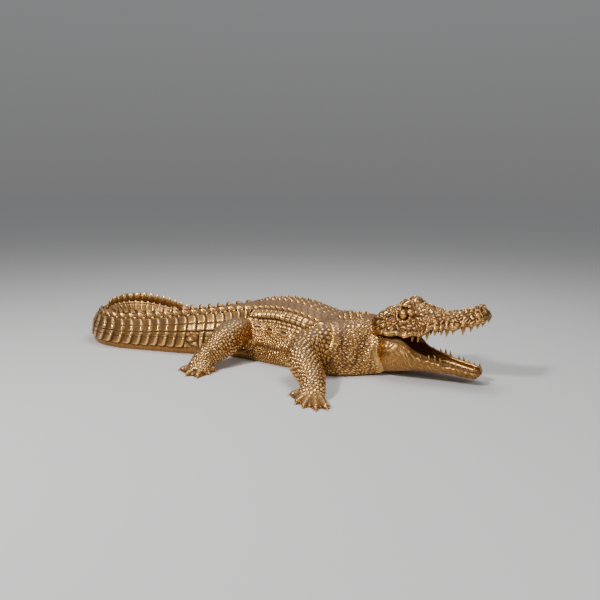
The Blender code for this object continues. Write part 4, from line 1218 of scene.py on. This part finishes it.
def row_places(k, ends, pitch, power):
    """Shares of the spine where a row's points stand, as in the casting's own rows, and how tall each may
    be.
    """
    count = int(round((ends[1] - ends[0]) * k.spine_length / pitch))
    half = (ends[1] - ends[0]) / (2 * count)
    number = np.arange(count)
    return ends[0] + (2.0 * number + 1.22) * half, np.sin(math.pi * (number + 0.6) / count) ** power


def scutes_piece(k):
    """The keeled scales of the back: two inner rows and the edge row on each side, and the knobs of the
    nape.
    """
    places, ease = row_places(k, BACK_ROWS, k.scute_pitch, 0.3)
    rows = []
    for side in (1.0, -1.0):
        for t, width, height, length in BACK_KEELS:
            spots = body_spots(k, places, t, side)
            tall = k.scute_height * height * ease
            rows.append(keels(spots, k.scute_pitch * length, width, tall, *BACK_SHAPE))
        spots = body_spots(k, NAPE_KNOBS[:, 0], NAPE_KNOBS[:, 1], side)
        rows.append(keels(spots, NAPE_LENGTH, NAPE_WIDTH, NAPE_HEIGHT, *NAPE_SHAPE))
    return keel_piece("back_scutes", rows)


def crest_keels(k, ends, pitch, height, t, side, upright, length, width, *shape):
    """A row of a crest, its keels lower where the tail is low, and turned upright by a share."""
    places, ease = row_places(k, ends, pitch, 0.35)
    low = np.minimum(1.0, (1.6 * curve_through(STATIONS[:, 0], STATIONS[:, 2], places)) ** 0.5)
    spot, ahead, out, beside = body_spots(k, places, t, side)
    out = unit(out * (1.0 - upright) + UP * upright)
    if upright == 1.0:
        beside = np.cross(out, ahead)
    return keels((spot, ahead, out, beside), pitch * length, width, height * low * ease, *shape)


def crest_pieces(k):
    """The tail's crests: tall keels in two rows, then one row of broad rounded plates."""
    double = (k, DOUBLE_CREST, k.tail_pitch, k.keel_height * 0.98, EDGE_ROW)
    rows = [crest_keels(*double, side, *DOUBLE_SHAPE) for side in (1.0, -1.0)]
    row = crest_keels(k, SINGLE_CREST, k.crest_pitch, k.crest_height, 0.0, 1.0, *SINGLE_SHAPE)
    return [keel_piece("double_crest", rows), keel_piece("single_crest", [row])]


def put(tree, socket, value):
    """Links a socket to an output, or sets it to a value."""
    if isinstance(value, bpy.types.NodeSocket):
        tree.links.new(value, socket)
    else:
        socket.default_value = value


def wire(tree, kind, output, sockets, **settings):
    """Makes a node with its settings, and its sockets set or linked, and returns one of its outputs."""
    node = tree.nodes.new("ShaderNode" + kind)
    for name, value in settings.items():
        setattr(node, name, value)
    for name, value in sockets.items():
        put(tree, node.inputs[name], value)
    return node.outputs[output]


def ramp(tree, value, stops):
    """The colours of a ramp through the stops, each a place and a colour, from the first to the last."""
    node = tree.nodes.new("ShaderNodeValToRGB")
    elements = node.color_ramp.elements
    for element, (position, colour) in zip(elements, (stops[0], stops[-1])):
        element.position = position
        element.color = (*colour, 1.0)
    for position, colour in stops[1:-1]:
        elements.new(position).color = (*colour, 1.0)
    put(tree, node.inputs["Fac"], value)
    return node.outputs["Color"]


def gold_material(finish):
    """Gold paint over a cast hide: brown in the seams, gold on the flats, pale gold where it is rubbed, and
    pale gold as painted light inside the mouth.

    The attribute of rubbing and painted light picks the tone and a slow noise shifts it. Seams are less
    metallic, low places that look up are dull with dust, and a fine noise makes a grainy bump.
    """
    material = bpy.data.materials.get("crocodile_gold")
    if material:
        return material
    material = bpy.data.materials.new("crocodile_gold")
    material.use_nodes = True
    tree = material.node_tree

    def maths(operation, first, second):
        return wire(tree, "Math", 0, {0: first, 1: second}, operation=operation)

    def spread(value, low, high, start=0.0, end=1.0):
        sockets = {"Value": value, "From Min": low, "From Max": high, "To Min": start, "To Max": end}
        return wire(tree, "MapRange", "Result", sockets)

    place = wire(tree, "TexCoord", "Object", {})
    wear_and_painted_light = wire(tree, "Attribute", "Fac", {}, attribute_name="wear_and_painted_light")
    patch = wire(tree, "TexNoise", "Fac", {"Vector": place, "Scale": 7.0, "Detail": 4.0})
    grain = wire(tree, "TexNoise", "Fac", {"Vector": place, "Scale": 190.0, "Detail": 5.0})
    shift = maths("MULTIPLY", maths("SUBTRACT", patch, 0.5), 0.45)
    speck = maths("MULTIPLY", maths("SUBTRACT", grain, 0.5), 0.18)
    tone = maths("ADD", wear_and_painted_light, maths("ADD", shift, speck))
    colours = (finish.seam_colour, finish.brown_colour, finish.gold_colour, finish.pale_colour)
    colour = ramp(tree, tone, tuple(zip((0.06, 0.38, 0.66, 0.96), colours)))

    facing = wire(tree, "NewGeometry", "Normal", {})
    upward = spread(wire(tree, "SeparateXYZ", "Z", {"Vector": facing}), 0.50, 0.92)
    sunk = spread(wear_and_painted_light, 0.92, 0.55)
    uneven = maths("ADD", maths("MULTIPLY", patch, 0.9), 0.30)
    dust = maths("MULTIPLY", maths("MULTIPLY", upward, sunk), uneven)
    dust = maths("MULTIPLY", dust, finish.dust)
    dust_colour = (*finish.dust_colour, 1.0)
    mixed = wire(tree, "Mix", "Result", {"Factor": dust, "A": colour, "B": dust_colour}, data_type="RGBA")
    metal = maths("SUBTRACT", spread(wear_and_painted_light, 0.15, 0.60, 0.82, 0.97), maths("MULTIPLY", dust, 0.80))
    rough = spread(tone, 0.2, 0.9, finish.roughness + 0.14, finish.roughness - 0.05)
    rough = maths("ADD", rough, maths("MULTIPLY", dust, 0.25))
    bumps = wire(tree, "Bump", "Normal", {"Height": grain, "Strength": 0.25, "Distance": 0.002})
    shader = tree.nodes["Principled BSDF"]
    for name, value in (("Base Color", mixed), ("Metallic", metal), ("Roughness", rough), ("Normal", bumps)):
        put(tree, shader.inputs[name], value)
    return material


def length_property(name, description, default):
    return bpy.props.FloatProperty(
        name=name, description=description, default=default, min=0.0, unit="LENGTH", precision=4
    )


def colour_property(name, description, default):
    return bpy.props.FloatVectorProperty(
        name=name, description=description, default=default, size=3, min=0.0, max=1.0, subtype="COLOR"
    )


def share_property(name, description, default):
    return bpy.props.FloatProperty(
        name=name, description=description, default=default, min=0.0, max=1.0, subtype="FACTOR"
    )


class CrocodileSizes(bpy.types.PropertyGroup):
    """Sizes of the casting, in metres."""

    spine_length: length_property(
        "Spine length", "From inside the skull to the tip of the tail, along the bends", 2.140
    )
    nape: length_property("Nape", "Where the spine starts, along the head's direction", 0.42)
    body_width: length_property("Body width", "Trunk at its widest", 0.372)
    body_height: length_property("Body height", "Trunk, from the floor to the skin of the back", 0.240)
    sink: length_property("Sink", "How far the forms reach below the floor before they are cut flat", 0.004)
    head_length: length_property("Head length", "Nape to snout", 0.438)
    head_width: length_property("Head width", "Across the angles of the jaw", 0.20)
    jaw_length: length_property("Jaw length", "Lower jaw, from the cheek to its tip", 0.375)
    eye_size: length_property("Eye size", "Length of an eye", 0.034)
    tooth_length: length_property("Tooth length", "A middling tooth, from the gum to its point", 0.017)
    tooth_width: length_property("Tooth width", "A middling tooth at the gum", 0.0145)
    foreleg_reach: length_property("Foreleg reach", "Shoulder to wrist, in plan", 0.36)
    hindleg_reach: length_property("Hind leg reach", "Hip to ankle, in plan", 0.30)
    foreleg_thickness: length_property("Foreleg thickness", "Upper arm", 0.120)
    hindleg_thickness: length_property("Hind leg thickness", "Thigh", 0.130)
    limb_root_height: length_property("Limb root height", "Shoulders and hips above the floor", 0.120)
    toe_length: length_property("Toe length", "A middling toe, from the wrist", 0.140)
    toe_thickness: length_property("Toe thickness", "A toe at its root", 0.030)
    scute_pitch: length_property("Scute pitch", "From one cross row of the back to the next", 0.031)
    tail_pitch: length_property("Tail pitch", "The same along the double crest", 0.041)
    crest_pitch: length_property("Crest pitch", "The same along the single crest", 0.030)
    scute_height: length_property("Scute height", "Keels of the back", 0.012)
    keel_height: length_property("Keel height", "Double crest of the tail", 0.024)
    crest_height: length_property("Crest height", "Single crest of the tail", 0.044)
    pebble_size: length_property("Pebble size", "Small scales of the flank", 0.0105)


class CrocodileFinish(bpy.types.PropertyGroup):
    """Colours of the finish and of the stage."""

    seam_colour: colour_property("Seams", "Brown left in the grooves", (0.080, 0.036, 0.014))
    brown_colour: colour_property("Brown gold", "Low places", (0.235, 0.110, 0.036))
    gold_colour: colour_property("Gold", "Flats", (0.465, 0.235, 0.068))
    pale_colour: colour_property("Pale gold", "Rubbed ridges", (0.88, 0.54, 0.19))
    dust_colour: colour_property("Dust", "Grey brown on low places that look up", (0.150, 0.098, 0.060))
    dust: share_property("Dust strength", "How much of the dust shows", 0.95)
    roughness: share_property("Roughness", "Sheen of the paint", 0.31)
    floor_colour: colour_property("Floor", "The plain floor", (0.62, 0.615, 0.605))
    light: bpy.props.FloatProperty(
        name="Light", description="Strength of the studio lights", default=1.0, min=0.0
    )


class PieceMaker:
    """What every piece's operator shares: its sizes, its material and its tie to the frame."""

    bl_options = {"REGISTER", "UNDO"}

    def execute(self, context):
        sizes = context.scene.crocodile_sizes
        material = gold_material(context.scene.crocodile_finish)
        made = self.pieces(sizes)
        if not made or any(len(obj.data.polygons) == 0 for obj in made):
            raise RuntimeError(self.bl_label + " made no faces")
        for obj in made:
            finish_piece(obj, material)
        return {"FINISHED"}


class CROCODILE_OT_trunk(PieceMaker, bpy.types.Operator):
    """Make the neck and trunk"""

    bl_idname = "crocodile.trunk"
    bl_label = "Trunk"

    def pieces(self, k):
        return [body_piece(k, "neck_and_trunk", 0.0, TRUNK_END, 0.0023, 291, 40)]


class CROCODILE_OT_tail(PieceMaker, bpy.types.Operator):
    """Make the tail in two lengths that meet in a groove"""

    bl_idname = "crocodile.tail"
    bl_label = "Tail"

    def pieces(self, k):
        return [
            body_piece(k, "tail_root", TRUNK_END, TAIL_ROOT_END, 0.0024, 221, 24),
            body_piece(k, "tail_end", TAIL_ROOT_END, 1.0, 0.0026, 151, 14),
        ]


class CROCODILE_OT_head(PieceMaker, bpy.types.Operator):
    """Make the skull and the lower jaw"""

    bl_idname = "crocodile.head"
    bl_label = "Head"

    def pieces(self, k):
        return [skull_piece(k), jaw_piece(k)]


class CROCODILE_OT_teeth(PieceMaker, bpy.types.Operator):
    """Make the teeth"""

    bl_idname = "crocodile.teeth"
    bl_label = "Teeth"

    def pieces(self, k):
        return [teeth_piece(k)]


class CROCODILE_OT_eyes(PieceMaker, bpy.types.Operator):
    """Make the eyes and the knobs beside them"""

    bl_idname = "crocodile.eyes"
    bl_label = "Eyes"

    def pieces(self, k):
        return [eyes_piece(k)]


class CROCODILE_OT_legs(PieceMaker, bpy.types.Operator):
    """Make the four legs"""

    bl_idname = "crocodile.legs"
    bl_label = "Legs"

    def pieces(self, k):
        return [limb_piece(k, name) for name in SWING]


class CROCODILE_OT_feet(PieceMaker, bpy.types.Operator):
    """Make the feet: toes, claws and webs"""

    bl_idname = "crocodile.feet"
    bl_label = "Feet"

    def pieces(self, k):
        return [piece for name in SWING for piece in feet_pieces(k, name)]


class CROCODILE_OT_scutes(PieceMaker, bpy.types.Operator):
    """Make the keeled scales of the back"""

    bl_idname = "crocodile.scutes"
    bl_label = "Back scales"

    def pieces(self, k):
        return [scutes_piece(k)]


class CROCODILE_OT_crests(PieceMaker, bpy.types.Operator):
    """Make the crests of the tail"""

    bl_idname = "crocodile.crests"
    bl_label = "Tail crests"

    def pieces(self, k):
        return crest_pieces(k)


class CROCODILE_OT_stage(bpy.types.Operator):
    """Make the floor, the sky, the lights and the camera"""

    bl_idname = "crocodile.stage"
    bl_label = "Stage"

    def execute(self, context):
        scene, finish = context.scene, context.scene.crocodile_finish
        mesh = bpy.data.meshes.new("floor")
        corners = [(x * FLOOR_REACH, y * FLOOR_REACH, 0) for x, y in ((-1, -1), (1, -1), (1, 1), (-1, 1))]
        mesh.from_pydata(corners, [], [(0, 1, 2, 3)])
        floor = bpy.data.objects.new("floor", mesh)
        scene.collection.objects.link(floor)
        paint = bpy.data.materials.new("floor_paint")
        paint.use_nodes = True
        shader = paint.node_tree.nodes["Principled BSDF"]
        shader.inputs["Base Color"].default_value = (*finish.floor_colour, 1.0)
        shader.inputs["Roughness"].default_value = 1.0
        shader.inputs["Specular IOR Level"].default_value = 0.0
        mesh.materials.append(paint)

        world = bpy.data.worlds.new("studio")
        world.use_nodes = True
        tree = world.node_tree
        place = wire(tree, "TexCoord", "Generated", {})
        height = wire(tree, "SeparateXYZ", "Z", {"Vector": place})
        background = tree.nodes["Background"].inputs
        put(tree, background["Color"], ramp(tree, height, ((0.0, HORIZON_GREY), (0.8, SKY_GREY))))
        background["Strength"].default_value = SKY_STRENGTH * finish.light
        scene.world = world
        for name, spot, aim, width, power in LAMPS:
            lamp = bpy.data.lights.new(name, "AREA")
            lamp.size = width
            lamp.energy = power * finish.light
            holder = bpy.data.objects.new(name, lamp)
            holder.location = spot
            holder.rotation_mode = "QUATERNION"
            holder.rotation_quaternion = (Vector(aim) - Vector(spot)).to_track_quat("-Z", "Y")
            scene.collection.objects.link(holder)

        lens = bpy.data.cameras.new("camera")
        lens.sensor_width = lens.sensor_height = SENSOR
        lens.lens = SENSOR * FOCAL_PIXELS / PICTURE_PIXELS
        lens.clip_start = 0.05
        camera = bpy.data.objects.new("camera", lens)
        forward = Vector(CAMERA_AIM).normalized()
        right = forward.cross(Vector(UP)).normalized()
        up = right.cross(forward)
        roll = math.radians(CAMERA_ROLL)
        tilted = right * math.cos(roll) + up * math.sin(roll)
        upright = up * math.cos(roll) - right * math.sin(roll)
        turn = Matrix((tilted, upright, -forward)).transposed().to_4x4()
        camera.matrix_world = Matrix.Translation(CAMERA_PLACE) @ turn
        scene.collection.objects.link(camera)
        scene.camera = camera
        return {"FINISHED"}


class CROCODILE_PT_panel(bpy.types.Panel):
    """The pieces and their sizes, in the sidebar"""

    bl_idname = "CROCODILE_PT_panel"
    bl_label = "Crocodile Sculpture"
    bl_space_type = "VIEW_3D"
    bl_region_type = "UI"
    bl_category = "Crocodile"

    def draw(self, context):
        for operator in OPERATORS:
            self.layout.operator(operator.bl_idname)
        for group in (context.scene.crocodile_sizes, context.scene.crocodile_finish):
            for name in group.__annotations__:
                self.layout.prop(group, name)


OPERATORS = (
    CROCODILE_OT_trunk, CROCODILE_OT_tail, CROCODILE_OT_head, CROCODILE_OT_teeth, CROCODILE_OT_eyes,
    CROCODILE_OT_legs, CROCODILE_OT_feet, CROCODILE_OT_scutes, CROCODILE_OT_crests, CROCODILE_OT_stage,
)
CLASSES = (CrocodileSizes, CrocodileFinish, *OPERATORS, CROCODILE_PT_panel)


def register():
    for cls in CLASSES:
        bpy.utils.register_class(cls)
    bpy.types.Scene.crocodile_sizes = bpy.props.PointerProperty(type=CrocodileSizes)
    bpy.types.Scene.crocodile_finish = bpy.props.PointerProperty(type=CrocodileFinish)


def unregister():
    del bpy.types.Scene.crocodile_finish
    del bpy.types.Scene.crocodile_sizes
    for cls in reversed(CLASSES):
        bpy.utils.unregister_class(cls)


def main():
    register()
    bpy.ops.crocodile.trunk()
    bpy.ops.crocodile.tail()
    bpy.ops.crocodile.head()
    bpy.ops.crocodile.teeth()
    bpy.ops.crocodile.eyes()
    bpy.ops.crocodile.legs()
    bpy.ops.crocodile.feet()
    bpy.ops.crocodile.scutes()
    bpy.ops.crocodile.crests()
    bpy.ops.crocodile.stage()


if __name__ == "__main__":
    main()
